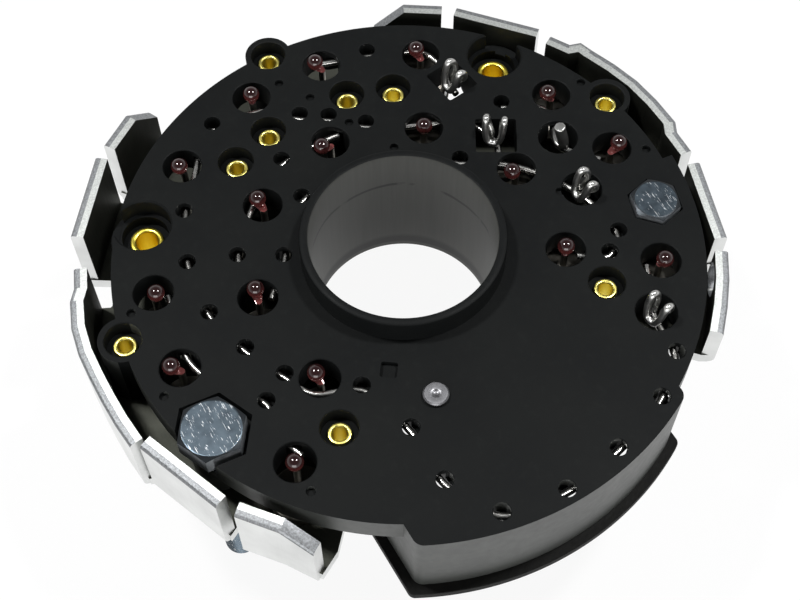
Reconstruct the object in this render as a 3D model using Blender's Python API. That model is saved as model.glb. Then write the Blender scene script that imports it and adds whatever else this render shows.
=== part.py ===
"""Rectifier of a heavy vehicle alternator, built as its separate pieces.

Values are millimetres and degrees; meshes are written in metres, +Z up.
The Z axis is the shaft axis. Z = 0 is the plane where the seal and the two feet
of the moulding meet the end shield, and -Y runs through the middle of the box.
Plan positions are polar, (radius, angle), counted from +X.
"""
import math

import bmesh
import bpy
from mathutils import Matrix, Vector

MM = 0.001
GAP = 0.3                     # clearance kept between pieces that touch

# Shaft tube and face plate of the moulding
BORE_R = 20.5
TUBE_WALL = 2.0
TUBE_RISE = 6.2               # above the face plate
TUBE_DROP = 4.5               # below the seat plane, the register in the end shield
TUBE_LIP = 0.6                # chamfer on the tube's top rim
PLATE_TOP = 25.6
PLATE_THICK = 6.8
PLATE_R = 63.6
SHOULDER_R = 66.0             # wider stretch of the plate's edge beside the box
SHOULDER_END = -8.0
SKIN = 1.5                    # plate left above the wire channels

# Box under the face plate, open downwards, with its rubber seal
BOX_R = 68.1
BOX_HALF_WIDTH = 32.2
BOX_INNER_Y = -38.0
BOX_WALL = 2.0
BOX_CORNER = 4.0
SEAL_THICK = 2.3
SEAL_OVERHANG = 2.1
SEAL_INSET = 0.5

# Heat sinks: sheet floors with fins bent up
SHEET = 3.0
LONG_FLOOR = 7.6              # top of the long heat sink's floor
SHORT_FLOOR = 15.3            # top of the short one's, which lies higher
SINK_INNER_R = 24.5
FLOOR_R = 68.0                # edge of the floor where there is no fin
FIN_TOP = PLATE_TOP
NOTCH_R = 66.5                # bottom of the slots between fins
NOTCH_EASE = 0.15             # the floor between fins reaches past their ends, degrees
NOTCH_GAP = 1.5               # from a fin to the plain edge of the floor, degrees
PLAIN_EDGE = 3.0              # shortest such edge that is made, degrees
END_CORNER = 3.7              # how far the floor's end lies inside the last fin

# Diodes pressed into the heat sinks from below
DIODE_R = 6.35
DIODE_RIM_R = 7.0
DIODE_RIM = 1.8
DIODE_BODY = 2.2              # above the heat sink
CONE = 1.6
LEAD_R = 0.8
BEAD_R = 1.6
LEAD_TOP = 23.9               # just above the wires, the bead sits beside it
DIODE_HOLE_R = 4.35
OUTER_RING_R = 54.8
INNER_RING_R = 33.4
OUTER_DIODES = (20.5, 55.2, 80.2, 99.8, 125.5, 161.0, 181.5, 216.2, 359.4)
INNER_DIODES = (9.6, 51.4, 89.5, 129.0, 170.7)
ODD_DIODES = ((35.9, 210.8), (35.5, 329.6), (56.1, 326.7))
BEADS_AT = (                  # how far each diode's bead lies beside its axis, x and y
    (-0.4, 0.9), (-0.1, 2.0), (-0.8, 1.7), (0.4, 0.9), (-0.6, 0.3), (0.5, -0.4),
    (-1.5, 1.3), (-0.1, 0.0), (2.2, 0.4), (-1.2, -0.1), (0.3, 0.4), (-2.2, 0.0),
    (-0.2, 2.1), (0.5, 2.1), (-0.1, 1.5), (0.5, 0.6), (0.9, -0.2),
)

# Tubular rivets that join moulding and heat sinks
RIVET_BORE_R = 1.55
RIVET_WALL = 0.4
RIVET_HEAD_R = 2.6
RIVET_FLARE_R = 3.0
RIVET_SHEET = 0.6
RIVET_POCKET_R = 4.0
RIVET_POCKET_DEPTH = 3.8
RIVET_PILLAR_R = 3.8
EAR_R = 5.4                   # ears of the moulding around the rivets on its edge
RIVET_RING_R = 44.7
EDGE_RING_R = 63.2
RING_RIVETS = (62.6, 76.7, 103.5, 117.7, 222.6, 318.8)
EDGE_RIVETS = (10.9, 90.1, 170.3)

# Brass bushes for the screws that hold the rectifier
BUSHES = ((58.5, 37.9), (58.0, 143.2))
BUSH_BORE_R = 2.5
BUSH_WALL = 0.5
BUSH_HEAD_R = 3.5
BUSH_SHEET = 0.6
BUSH_POCKET_R = 6.3
BUSH_POCKET_DEPTH = 4.8
BUSH_STEP_R = 5.25
BUSH_STEP_DEPTH = 7.6
BUSH_PILLAR_R = 7.8
BUSH_FOOT_R = 5.0             # goes through the heat sink, the pillar stands on it

# Hexagon bolts: place, thread radius, width across flats, head, end, washer, nut, turn
BIG_BOLT = {"name": "main_terminal", "at": (58.3, 197.8), "r": 4.0, "flats": 13.0, "head": 5.3,
            "proud": 1.5, "end": -36.2, "washer_r": 8.0, "washer": 1.6, "nut": 6.5, "turn": -6.0,
            "room": 1.1, "pillar_r": 5.6}
SMALL_BOLT = {"name": "second_terminal", "at": (57.4, 342.0), "r": 3.0, "flats": 10.0, "head": 4.0,
              "proud": 1.2, "end": -12.0, "washer_r": 6.0, "washer": 1.4, "nut": 5.0, "turn": 12.0,
              "room": 0.5, "pillar_r": 5.0}

# Solid rivet between the tube and the box
PIN_AT = (36.1, 250.3)
PIN_R = 1.5
PIN_HEAD_R = 2.8
PIN_HEAD = 0.9
PIN_TAIL_R = 2.4

# Round wires in channels on the back of the plate, and the hooks for the stator leads
WIRE_R = 0.8
WIRE_DEPTH = 2.0              # top of the wire under the plate's face
CHANNEL_HALF = 1.2
WIRE_SIDE = 2.8               # how far a wire passes from a diode's axis
WIRE_STEP = 6.0
WINDOW_R = 1.85
WINDOWS = {
    "a": (55.9, 111.6), "b": (44.3, 92.3), "c": (40.8, 84.6), "d": (36.0, 73.4),
    "e": (36.9, 108.1), "f": (26.8, 117.4), "g": (49.8, 137.6), "h": (47.1, 153.2),
    "i": (36.2, 151.5), "j": (26.1, 152.3), "k": (56.7, 68.3), "l": (46.6, 30.2),
    "m": (27.8, 31.9), "n": (47.7, 335.7), "o": (45.1, 329.1), "p": (44.2, 170.2),
    "q": (41.0, 185.5), "r": (39.0, 200.3), "s": (34.1, 225.0), "t": (46.1, 201.9),
    "u": (42.6, 241.7), "v": (54.7, 248.3), "w": (63.9, 257.3), "x": (64.8, 269.8),
    "y": (64.1, 282.3), "z": (64.1, 295.8), "end": (62.6, 305.9),
}
PINHOLES = ((54.5, 91.9), (47.2, 87.0), (36.8, 79.4), (62.2, 17.5), (61.5, 355.5), (38.3, 353.2),
            (60.1, 164.9), (60.8, 185.4), (59.5, 221.6), (27.6, 63.9))
PINHOLE_R = 1.0
PINHOLE_DEPTH = 1.2
SQUARE_AT = (29.7, 233.8)
SQUARE_SIDE = 3.6
SQUARE_DEPTH = 1.2
HOOKS = (                     # hole, its pocket if square, place and turn of the hook in it
    {"at": (48.3, 45.9), "pocket": (8.2, 9.2), "turn": 6.5, "hook": (47.5, 45.2), "lean": -85.0},
    {"at": (37.4, 24.9), "pocket": (9.4, 9.4), "turn": -30.6, "hook": (37.3, 25.7), "lean": -40.0},
    {"at": (46.6, 10.1), "pocket": None, "turn": 0.0, "hook": None, "lean": 0.0},
    {"at": (43.1, 351.5), "pocket": None, "turn": 0.0, "hook": (43.1, 350.2), "lean": -95.0},
    {"at": (56.1, 313.4), "pocket": None, "turn": 0.0, "hook": (56.2, 312.7), "lean": -79.5},
)
HOOK_HOLE_R = 4.5
HOOK_HALF = ((0.0, -1.7, -0.9), (1.1, -1.6, -0.6), (1.7, -1.3, 0.9), (2.05, -0.8, 3.4),
             (2.1, 0.1, 5.4), (2.05, 1.3, 4.5), (1.7, 1.6, 2.4))
HOOK_FEET = ((1.2, 0.9, 0.3), (1.2, 0.9, -1.7))
STUB_R = 1.3                  # bent stub of thick wire, in the round hole without a hook
STUB = ((0.63, -1.61, -1.7), (0.33, -1.44, 0.5), (-0.37, -1.03, 3.6), (-0.66, -0.87, 5.3))
LEAD_SLOT = ((52.2, 45.6), (56.5, 45.6))
LEAD_SLOT_R = 2.7             # in the short heat sink, under the first hook

# Long and short heat sink: fins as stations (angle, inner radius, drop of the top edge)
SPLIT = 69.5                  # middle of the gap between the two heat sinks
SPLIT_HALF = 1.3
LONG_END = 227.3
LONG_FINS = (
    ((114.5, 71.1, 6.2), (119.9, 71.1, 0.0), (127.3, 71.1, 0.0)),
    ((129.7, 71.4, 0.0), (147.0, 70.4, 0.0)),
    ((153.4, 68.8, 0.0), (157.7, 68.7, 0.0), (160.2, 69.7, 0.0), (165.0, 70.1, 0.0),
     (170.0, 69.9, 0.0), (175.0, 69.4, 0.0), (180.0, 69.2, 0.0), (185.0, 69.3, 0.0),
     (190.0, 69.5, 0.0)),
    ((190.5, 68.1, 0.0), (208.1, 67.5, 0.0)),
    ((210.8, 67.2, 0.0), (219.0, 66.5, 0.0), (225.6, 67.8, 4.0)),
)
SHORT_START = 311.8
SHORT_FINS = (
    ((312.1, 67.9, 0.0), (317.9, 67.8, 0.0), (323.6, 67.9, 0.0), (329.2, 68.0, 0.0)),
    ((331.7, 68.3, 0.0), (348.9, 68.2, 0.0)),
    ((351.3, 67.9, 0.0), (356.9, 67.6, 0.0), (359.1, 68.9, 0.0), (364.5, 69.1, 0.0),
     (370.0, 69.3, 0.0), (375.5, 69.15, 0.0), (381.0, 69.0, 0.0), (382.6, 69.2, 0.0),
     (383.9, 67.4, 0.0), (389.1, 67.1, 0.0)),
    ((391.6, 67.9, 0.0), (409.2, 67.75, 0.0)),
    ((411.7, 67.7, 0.0), (419.4, 67.6, 0.0), (425.6, 67.6, 7.1)),
)
FIN_HOLE_AT = 325.8
FIN_HOLE_R = 3.9
FIN_HOLE_DROP = 5.6

BLACK = ((0.012, 0.013, 0.014), 0.45, 0.0)
RUBBER = ((0.010, 0.010, 0.010), 0.8, 0.0)
ALUMINIUM = ((0.62, 0.64, 0.66), 0.35, 1.0)
BRASS = ((0.75, 0.55, 0.16), 0.3, 1.0)
ZINC = ((0.45, 0.50, 0.54), 0.35, 1.0)
TINNED = ((0.55, 0.54, 0.52), 0.25, 1.0)
COPPER = ((0.30, 0.12, 0.10), 0.35, 0.8)

PLATE_BOTTOM = PLATE_TOP - PLATE_THICK
WIRE_Z = PLATE_TOP - WIRE_DEPTH - WIRE_R


def polar(at, z=0.0):
    radius, angle = at
    turn = math.radians(angle)
    return Vector((radius * math.cos(turn), radius * math.sin(turn), z))


def arc(radius, start, end, step=5.0):
    """Plan points on a circle about the shaft axis, both ends included."""
    count = max(1, math.ceil(abs(end - start) / step))
    return [polar((radius, start + (end - start) * i / count)).to_2d() for i in range(count + 1)]


def material(name, look):
    colour, roughness, metallic = look
    result = bpy.data.materials.new(name)
    result.use_nodes = True
    shader = result.node_tree.nodes["Principled BSDF"]
    shader.inputs["Base Color"].default_value = (*colour, 1.0)
    shader.inputs["Roughness"].default_value = roughness
    shader.inputs["Metallic"].default_value = metallic
    return result


def add_object(name, bm, look=None, location=(0, 0, 0)):
    """Turn a bmesh in millimetres into an object; without a look it is a cutter or a guide."""
    bmesh.ops.recalc_face_normals(bm, faces=bm.faces)
    bmesh.ops.scale(bm, vec=(MM, MM, MM), verts=bm.verts)
    mesh = bpy.data.meshes.new(name)
    bm.to_mesh(mesh)
    bm.free()
    mesh.shade_smooth()
    mesh.set_sharp_from_angle(angle=math.radians(35))
    obj = bpy.data.objects.new(name, mesh)
    obj.location = Vector(location) * MM
    bpy.context.scene.collection.objects.link(obj)
    if look is None:
        obj.hide_render = True
        obj.display_type = "WIRE"
    else:
        mesh.materials.append(material(name, look))
    return obj


def add_prism(bm, outline, low, high):
    """Add a plan outline, extruded between two heights."""
    face = bm.faces.new([bm.verts.new((x, y, low)) for x, y in outline])
    top = bmesh.ops.extrude_face_region(bm, geom=[face])
    moved = [item for item in top["geom"] if isinstance(item, bmesh.types.BMVert)]
    bmesh.ops.translate(bm, vec=(0, 0, high - low), verts=moved)


def circle(centre, radius, sides, turn=0.0):
    return [(centre[0] + radius * math.cos(2 * math.pi * i / sides + math.radians(turn)),
             centre[1] + radius * math.sin(2 * math.pi * i / sides + math.radians(turn)))
            for i in range(sides)]


def rectangle(centre, width, depth, turn):
    spin = Matrix.Rotation(math.radians(turn), 2)
    corners = ((-1, -1), (1, -1), (1, 1), (-1, 1))
    return [Vector(centre[:2]) + spin @ Vector((x * width / 2, y * depth / 2)) for x, y in corners]


def add_round(bm, at, radius, low, high, sides):
    add_prism(bm, circle(polar(at), radius, sides), low, high)


def add_turned(bm, profile, sides, closed=False):
    """Spin a profile of (radius, height) points about Z; closed profiles make rings."""
    verts = [bm.verts.new((radius, 0, z)) for radius, z in profile]
    ends = verts + verts[:1] if closed else verts
    edges = [bm.edges.new(pair) for pair in zip(ends, ends[1:])]
    bmesh.ops.spin(bm, geom=verts + edges, cent=(0, 0, 0), axis=(0, 0, 1),
                   angle=2 * math.pi, steps=sides, use_merge=True)
    bmesh.ops.remove_doubles(bm, verts=bm.verts, dist=0.001)


def turned(name, profile, sides, look, at, closed=False):
    bm = bmesh.new()
    add_turned(bm, profile, sides, closed)
    return add_object(name, bm, look, polar(at))


def add_loft(bm, sections):
    """Skin a row of sections, each a list of points, and cap both ends."""
    rows = [[bm.verts.new(point) for point in section] for section in sections]
    for row, following in zip(rows, rows[1:]):
        for i in range(len(row)):
            j = (i + 1) % len(row)
            bm.faces.new((row[i], row[j], following[j], following[i]))
    bm.faces.new(rows[0])
    bm.faces.new(rows[-1])


def combine(obj, tool, operation):
    modifier = obj.modifiers.new(tool.name, "BOOLEAN")
    modifier.operation = operation
    modifier.solver = "EXACT"
    modifier.use_self = True
    modifier.object = tool


def diodes():
    """Plan positions of the diodes, outer ring first."""
    return ([(OUTER_RING_R, angle) for angle in OUTER_DIODES]
            + [(INNER_RING_R, angle) for angle in INNER_DIODES] + list(ODD_DIODES))


def floor_top(at):
    """Top of the heat sink's floor at a plan place, which is on one sink or the other."""
    on_short = at[1] > SHORT_START or at[1] < SPLIT
    return SHORT_FLOOR if on_short else LONG_FLOOR


def rivets():
    return ([(RIVET_RING_R, angle) for angle in RING_RIVETS]
            + [(EDGE_RING_R, angle) for angle in EDGE_RIVETS])


def smooth_route(points, step=WIRE_STEP):
    """Points on a centripetal curve through the given ones, a step or so apart."""
    knots = [points[0] * 2 - points[1], *points, points[-1] * 2 - points[-2]]
    result = [points[0]]
    for a, b, c, d in zip(knots, knots[1:], knots[2:], knots[3:]):
        count = max(2, round((c - b).length / step))
        t1 = math.sqrt((b - a).length)
        t2 = t1 + math.sqrt((c - b).length)
        t3 = t2 + math.sqrt((d - c).length)
        for i in range(1, count + 1):
            t = t1 + (t2 - t1) * i / count
            p = a.lerp(b, t / t1)
            q = b.lerp(c, (t - t1) / (t2 - t1))
            r = c.lerp(d, (t - t2) / (t3 - t2))
            result.append(p.lerp(q, t / t2).lerp(q.lerp(r, (t - t1) / (t3 - t1)),
                                                 (t - t1) / (t2 - t1)))
    return result


def beside(ring, angle, side):
    """A point of a wire that passes a diode at this place, outside it (+1) or inside (-1)."""
    return (ring + side * WIRE_SIDE, angle)


def routes():
    """Plan routes of the wires, from the diodes, windows and hooks that they pass."""
    w = WINDOWS
    hook = [spec["at"] for spec in HOOKS]
    outer, inner = OUTER_RING_R, INNER_RING_R
    return {
        "phase_wire_1": [(46.6, 44.0), hook[0], (52.5, 48.5), beside(outer, 55.2, 1), w["k"],
                         beside(outer, 80.2, 1)],
        "phase_wire_2": [(35.2, 21.0), hook[1], (39.4, 38.0), beside(inner, 51.4, 1), w["d"],
                         w["c"], w["b"], beside(outer, 99.8, -1), (53.5, 104.5)],
        "phase_wire_3": [beside(outer, 359.4, -1), (48.6, 4.0), hook[2], (49.6, 15.0),
                         beside(outer, 20.5, -1), w["l"]],
        "phase_wire_4": [beside(*ODD_DIODES[1], 1), w["o"], w["n"], hook[3], (39.2, 1.0),
                         beside(inner, 9.6, 1), (31.5, 22.0), w["m"], (27.4, 48.0), (27.2, 64.0),
                         (26.9, 90.0), w["f"], (26.4, 135.0), w["j"], beside(inner, 170.7, -1)],
        "phase_wire_5": [beside(*ODD_DIODES[2], -1), (54.6, 319.5), hook[4], w["end"], w["z"],
                         w["y"], w["x"], w["w"], w["v"], w["u"], w["s"], beside(*ODD_DIODES[0], 1),
                         w["r"], w["q"], w["p"], w["h"], w["g"], beside(outer, 125.5, -1),
                         (54.4, 118.5), w["a"]],
        "link_wire_1": [(inner + WIRE_SIDE, 84.0), beside(inner, 89.5, 1), w["e"],
                        beside(inner, 129.0, 1), w["i"], (34.2, 163.0)],
        "link_wire_2": [beside(outer, 161.0, -1), beside(outer, 181.5, -1), w["t"],
                        (50.0, 209.0), beside(outer, 216.2, -1)],
    }


def box_outline(grow, inner_y):
    """Plan outline of the box, moved outwards by grow, with round corners at its outer arc."""
    radius, half, corner = BOX_R + grow, BOX_HALF_WIDTH + grow, BOX_CORNER + grow
    centre_y = -math.sqrt((radius - corner) ** 2 - (half - corner) ** 2)
    touch = math.atan2(centre_y, half - corner)
    right = [Vector((half - corner + corner * math.cos(touch * i / 4),
                     centre_y + corner * math.sin(touch * i / 4))) for i in range(4, -1, -1)]
    left = [Vector((-p.x, p.y)) for p in reversed(right)]
    outer = arc(radius, -180 - math.degrees(touch), math.degrees(touch))
    return [Vector((half, inner_y)), Vector((-half, inner_y)), *left, *outer[1:-1], *right]


def plate_outline():
    """Face plate: round, wider beside the box, with the box's edge standing out."""
    left_turn = 180 + math.degrees(math.acos(BOX_HALF_WIDTH / PLATE_R))
    right_turn = -math.degrees(math.acos(BOX_HALF_WIDTH / SHOULDER_R))
    box_edge = box_outline(0.0, BOX_INNER_Y)[2:]
    return (arc(SHOULDER_R, right_turn, SHOULDER_END)
            + arc(PLATE_R, SHOULDER_END + 0.8, left_turn) + box_edge[1:-1])


def channel(bm, route):
    """A wire channel: a strip along a plan route, cut from the back of the plate."""
    plan = smooth_route([polar(point).to_2d() for point in route])
    sections = []
    for i, point in enumerate(plan):
        along = (plan[min(i + 1, len(plan) - 1)] - plan[max(i - 1, 0)]).normalized()
        side = Vector((-along.y, along.x)) * CHANNEL_HALF
        end = -along if i == 0 else along if i == len(plan) - 1 else Vector((0, 0))
        left, right = point + side + end * CHANNEL_HALF, point - side + end * CHANNEL_HALF
        sections.append([(left.x, left.y, PLATE_BOTTOM - 1), (right.x, right.y, PLATE_BOTTOM - 1),
                         (right.x, right.y, PLATE_TOP - SKIN), (left.x, left.y, PLATE_TOP - SKIN)])
    add_loft(bm, sections)


def moulding():
    """Black insulator: face plate, shaft tube, box, pillars and feet in one moulding."""
    bm = bmesh.new()
    add_prism(bm, plate_outline(), PLATE_BOTTOM, PLATE_TOP)
    body = add_object("insulator_moulding", bm, BLACK)

    bm = bmesh.new()
    tube_top, tube_r = PLATE_TOP + TUBE_RISE, BORE_R + TUBE_WALL
    add_turned(bm, [(0, tube_top), (tube_r - TUBE_LIP, tube_top), (tube_r, tube_top - TUBE_LIP),
                    (tube_r, -TUBE_DROP), (0, -TUBE_DROP)], 48)
    add_prism(bm, box_outline(0.0, BOX_INNER_Y), SEAL_THICK + GAP, PLATE_BOTTOM + 1)
    for at in rivets():
        if at[0] == EDGE_RING_R:
            add_round(bm, at, EAR_R, floor_top(at) + GAP, PLATE_TOP, 20)
        else:
            add_round(bm, at, RIVET_PILLAR_R, floor_top(at) + GAP, PLATE_BOTTOM + 1, 12)
    for bolt in (BIG_BOLT, SMALL_BOLT):
        low = floor_top(bolt["at"]) + GAP
        add_round(bm, bolt["at"], bolt["pillar_r"], low, PLATE_BOTTOM + 1, 16)
    for at in BUSHES:
        shoulder = floor_top(at) + GAP
        add_turned_at(bm, at, [(0, PLATE_TOP), (BUSH_PILLAR_R, PLATE_TOP),
                               (BUSH_PILLAR_R, shoulder), (BUSH_FOOT_R, shoulder),
                               (BUSH_FOOT_R, 0), (0, 0)], 20)
    combine(body, add_object("raised_forms", bm), "UNION")

    bm = bmesh.new()
    low, high = PLATE_BOTTOM - 1, PLATE_TOP + 1
    add_round(bm, (0, 0), BORE_R, -TUBE_DROP - 1, tube_top + 1, 48)
    for at in diodes():
        add_round(bm, at, DIODE_HOLE_R, low, high, 14)
    for spec in HOOKS:
        if spec["pocket"]:
            add_prism(bm, rectangle(polar(spec["at"]), *spec["pocket"], spec["turn"]), low, high)
        else:
            add_round(bm, spec["at"], HOOK_HOLE_R, low, high, 16)
    for at in rivets():
        add_round(bm, at, RIVET_POCKET_R, PLATE_TOP - RIVET_POCKET_DEPTH, high, 14)
    for at in BUSHES:
        add_turned_at(bm, at, [(0, high), (BUSH_POCKET_R, high),
                               (BUSH_POCKET_R, PLATE_TOP - BUSH_POCKET_DEPTH),
                               (BUSH_STEP_R, PLATE_TOP - BUSH_POCKET_DEPTH),
                               (BUSH_STEP_R, PLATE_TOP - BUSH_STEP_DEPTH),
                               (0, PLATE_TOP - BUSH_STEP_DEPTH)], 24)
    for bolt in (BIG_BOLT, SMALL_BOLT):
        seat = PLATE_TOP + bolt["proud"] - bolt["head"] - GAP
        add_prism(bm, hexagon(bolt, bolt["room"]), seat, high)
    add_prism(bm, rectangle(polar(SQUARE_AT), SQUARE_SIDE, SQUARE_SIDE, SQUARE_AT[1]),
              PLATE_TOP - SQUARE_DEPTH, high)
    for at in PINHOLES:
        add_round(bm, at, PINHOLE_R, PLATE_TOP - PINHOLE_DEPTH, high, 6)
    add_prism(bm, box_outline(-BOX_WALL, BOX_INNER_Y - BOX_WALL), -1, PLATE_BOTTOM)
    combine(body, add_object("pockets", bm), "DIFFERENCE")

    bm = bmesh.new()
    for at in rivets():
        add_round(bm, at, RIVET_BORE_R + RIVET_WALL + GAP, LONG_FLOOR - 1, PLATE_TOP, 10)
    for at in BUSHES:
        add_round(bm, at, BUSH_BORE_R + BUSH_WALL + GAP, -1, PLATE_TOP, 14)
    for bolt in (BIG_BOLT, SMALL_BOLT):
        add_round(bm, bolt["at"], bolt["r"] + GAP, LONG_FLOOR - 1, PLATE_TOP, 14)
    add_round(bm, PIN_AT, PIN_R + GAP, PLATE_BOTTOM - 1, PLATE_TOP + 1, 10)
    for at in WINDOWS.values():
        add_round(bm, at, WINDOW_R, PLATE_TOP - WIRE_DEPTH - 2 * WIRE_R, PLATE_TOP + 1, 8)
    combine(body, add_object("bores", bm), "DIFFERENCE")

    bm = bmesh.new()
    for route in routes().values():
        channel(bm, route)
    combine(body, add_object("wire_channels", bm), "DIFFERENCE")
    return body


def add_turned_at(bm, at, profile, sides):
    """Spin a profile about Z and move it to its place, beside what the bmesh already holds."""
    part = bmesh.new()
    add_turned(part, profile, sides)
    bmesh.ops.translate(part, vec=polar(at), verts=part.verts)
    mesh = bpy.data.meshes.new("turned")
    part.to_mesh(mesh)
    part.free()
    bm.from_mesh(mesh)
    bpy.data.meshes.remove(mesh)


def hexagon(bolt, room=0.0):
    """Plan outline of a bolt's hexagon, with room all round."""
    return circle(polar(bolt["at"]), (bolt["flats"] / 2 + room) / math.cos(math.pi / 6), 6,
                  bolt["turn"])


def fin(bm, stations, root):
    """One fin: a wall of sheet along its stations, rooted in the edge of the floor."""
    sections = []
    for angle, radius, drop in stations:
        profile = ((0, root), (SHEET, root), (SHEET, FIN_TOP - drop), (0, FIN_TOP - drop))
        sections.append([polar((radius + out, angle), z) for out, z in profile])
    add_loft(bm, sections)


def floor_outline(fins, start, end):
    """Plan outline of a heat sink's floor, with a notch between each two fins."""
    outer = []
    edge = SHEET / 2
    for i, stations in enumerate(fins):
        before = fins[i - 1][-1]
        if i and stations[0][0] - before[0] > 1:
            left, right = before[0] + NOTCH_EASE, stations[0][0] - NOTCH_EASE
            outer += [(before[1] + edge, left), (NOTCH_R, left),
                      (NOTCH_R, right), (stations[0][1] + edge, right)]
        elif i:
            outer.append((before[1] + edge, before[0] + NOTCH_EASE))
        outer += [(radius + edge, angle + NOTCH_EASE) for angle, radius, _ in stations[:-1]]
    last_angle, last_radius, _ = fins[-1][-1]
    outer.append((last_radius + edge, last_angle + NOTCH_EASE))
    outer = [polar(point).to_2d() for point in outer]
    first_angle, first_radius, _ = fins[0][0]
    if first_angle - start > PLAIN_EDGE:
        lead_in = arc(FLOOR_R, start, first_angle - NOTCH_GAP)
    else:
        lead_in = [polar((first_radius, start)).to_2d()]
    if end - last_angle > PLAIN_EDGE:
        lead_out = arc(FLOOR_R, last_angle + NOTCH_GAP, end)
    else:
        lead_out = [polar((last_radius - END_CORNER, end)).to_2d()]
    return lead_in + outer + lead_out + arc(SINK_INNER_R, end, start, 6.0)


def heat_sink(name, fins, start, end, floor, owned_bolt):
    bm = bmesh.new()
    add_prism(bm, floor_outline(fins, start, end), floor - SHEET, floor)
    sink = add_object(name, bm, ALUMINIUM)

    bm = bmesh.new()
    for stations in fins:
        fin(bm, stations, floor - SHEET / 2)
    combine(sink, add_object(name + "_fins", bm), "UNION")

    bm = bmesh.new()
    low, high = floor - SHEET - 1, floor + 1
    span = [(at, DIODE_R + GAP, 20) for at in diodes()]
    span += [(at, RIVET_BORE_R + RIVET_WALL + GAP, 12) for at in rivets()]
    span += [(at, BUSH_FOOT_R + GAP, 20) for at in BUSHES]
    span += [(owned_bolt["at"], owned_bolt["r"] + GAP, 16)]
    for at, radius, sides in span:
        if start < at[1] < end or start < at[1] + 360 < end:
            add_round(bm, at, radius, low, high, sides)
    combine(sink, add_object(name + "_holes", bm), "DIFFERENCE")
    return sink


def lead_slot(sink):
    """Slot with round ends through the floor of the short heat sink, for a stator lead."""
    near, far = (polar(at).to_2d() for at in LEAD_SLOT)
    along = (far - near).normalized() * LEAD_SLOT_R
    ends = []
    for centre, first in ((near, 90), (far, -90)):
        for i in range(9):
            ends.append(centre + Matrix.Rotation(math.radians(first + 22.5 * i), 2) @ along)
    bm = bmesh.new()
    add_prism(bm, ends, SHORT_FLOOR - SHEET - 1, SHORT_FLOOR + 1)
    combine(sink, add_object("lead_slot", bm), "DIFFERENCE")


def fin_hole(sink):
    """Round hole through the last fin of the short heat sink."""
    bm = bmesh.new()
    bmesh.ops.create_cone(bm, cap_ends=True, segments=20, radius1=FIN_HOLE_R, radius2=FIN_HOLE_R,
                          depth=4 * SHEET)
    bmesh.ops.rotate(bm, matrix=Matrix.Rotation(math.pi / 2, 3, "Y"), verts=bm.verts)
    bmesh.ops.rotate(bm, matrix=Matrix.Rotation(math.radians(FIN_HOLE_AT), 3, "Z"), verts=bm.verts)
    bmesh.ops.translate(bm, vec=polar((SHORT_FINS[0][0][1], FIN_HOLE_AT), FIN_TOP - FIN_HOLE_DROP),
                        verts=bm.verts)
    combine(sink, add_object("fin_hole", bm), "DIFFERENCE")


def diode(name, at, bead_at):
    rim_top = floor_top(at) - SHEET - GAP
    body_top = floor_top(at) + DIODE_BODY
    bead = PLATE_TOP
    profile = [(0, bead + BEAD_R), (BEAD_R * 0.9, bead + BEAD_R * 0.4),
               (BEAD_R * 0.8, bead - BEAD_R * 0.6), (LEAD_R, LEAD_TOP), (LEAD_R, body_top + CONE),
               (DIODE_R, body_top), (DIODE_R, rim_top), (DIODE_RIM_R, rim_top),
               (DIODE_RIM_R, rim_top - DIODE_RIM), (0, rim_top - DIODE_RIM)]
    obj = turned(name, profile, 12, COPPER, at)
    for vertex in obj.data.vertices:
        if vertex.co.z > (LEAD_TOP + 0.1) * MM:
            vertex.co += Vector((*bead_at, 0)) * MM
    return obj


def tubular_rivet(name, at):
    shelf = PLATE_TOP - RIVET_POCKET_DEPTH + GAP
    tube_r = RIVET_BORE_R + RIVET_WALL
    flare = floor_top(at) - SHEET - GAP
    profile = [(RIVET_BORE_R, shelf + RIVET_SHEET), (RIVET_HEAD_R, shelf + RIVET_SHEET),
               (RIVET_HEAD_R, shelf), (tube_r, shelf), (tube_r, flare), (RIVET_FLARE_R, flare),
               (RIVET_FLARE_R, flare - RIVET_SHEET), (RIVET_BORE_R, flare - RIVET_SHEET)]
    return turned(name, profile, 10, BRASS, at, closed=True)


def mounting_bush(name, at):
    shelf = PLATE_TOP - BUSH_STEP_DEPTH + GAP
    tube_r = BUSH_BORE_R + BUSH_WALL
    profile = [(BUSH_BORE_R, shelf + BUSH_SHEET), (BUSH_HEAD_R + GAP, shelf + BUSH_SHEET),
               (BUSH_HEAD_R + GAP, shelf), (tube_r, shelf), (tube_r, 0), (BUSH_BORE_R, 0)]
    return turned(name, profile, 16, BRASS, at, closed=True)


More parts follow.
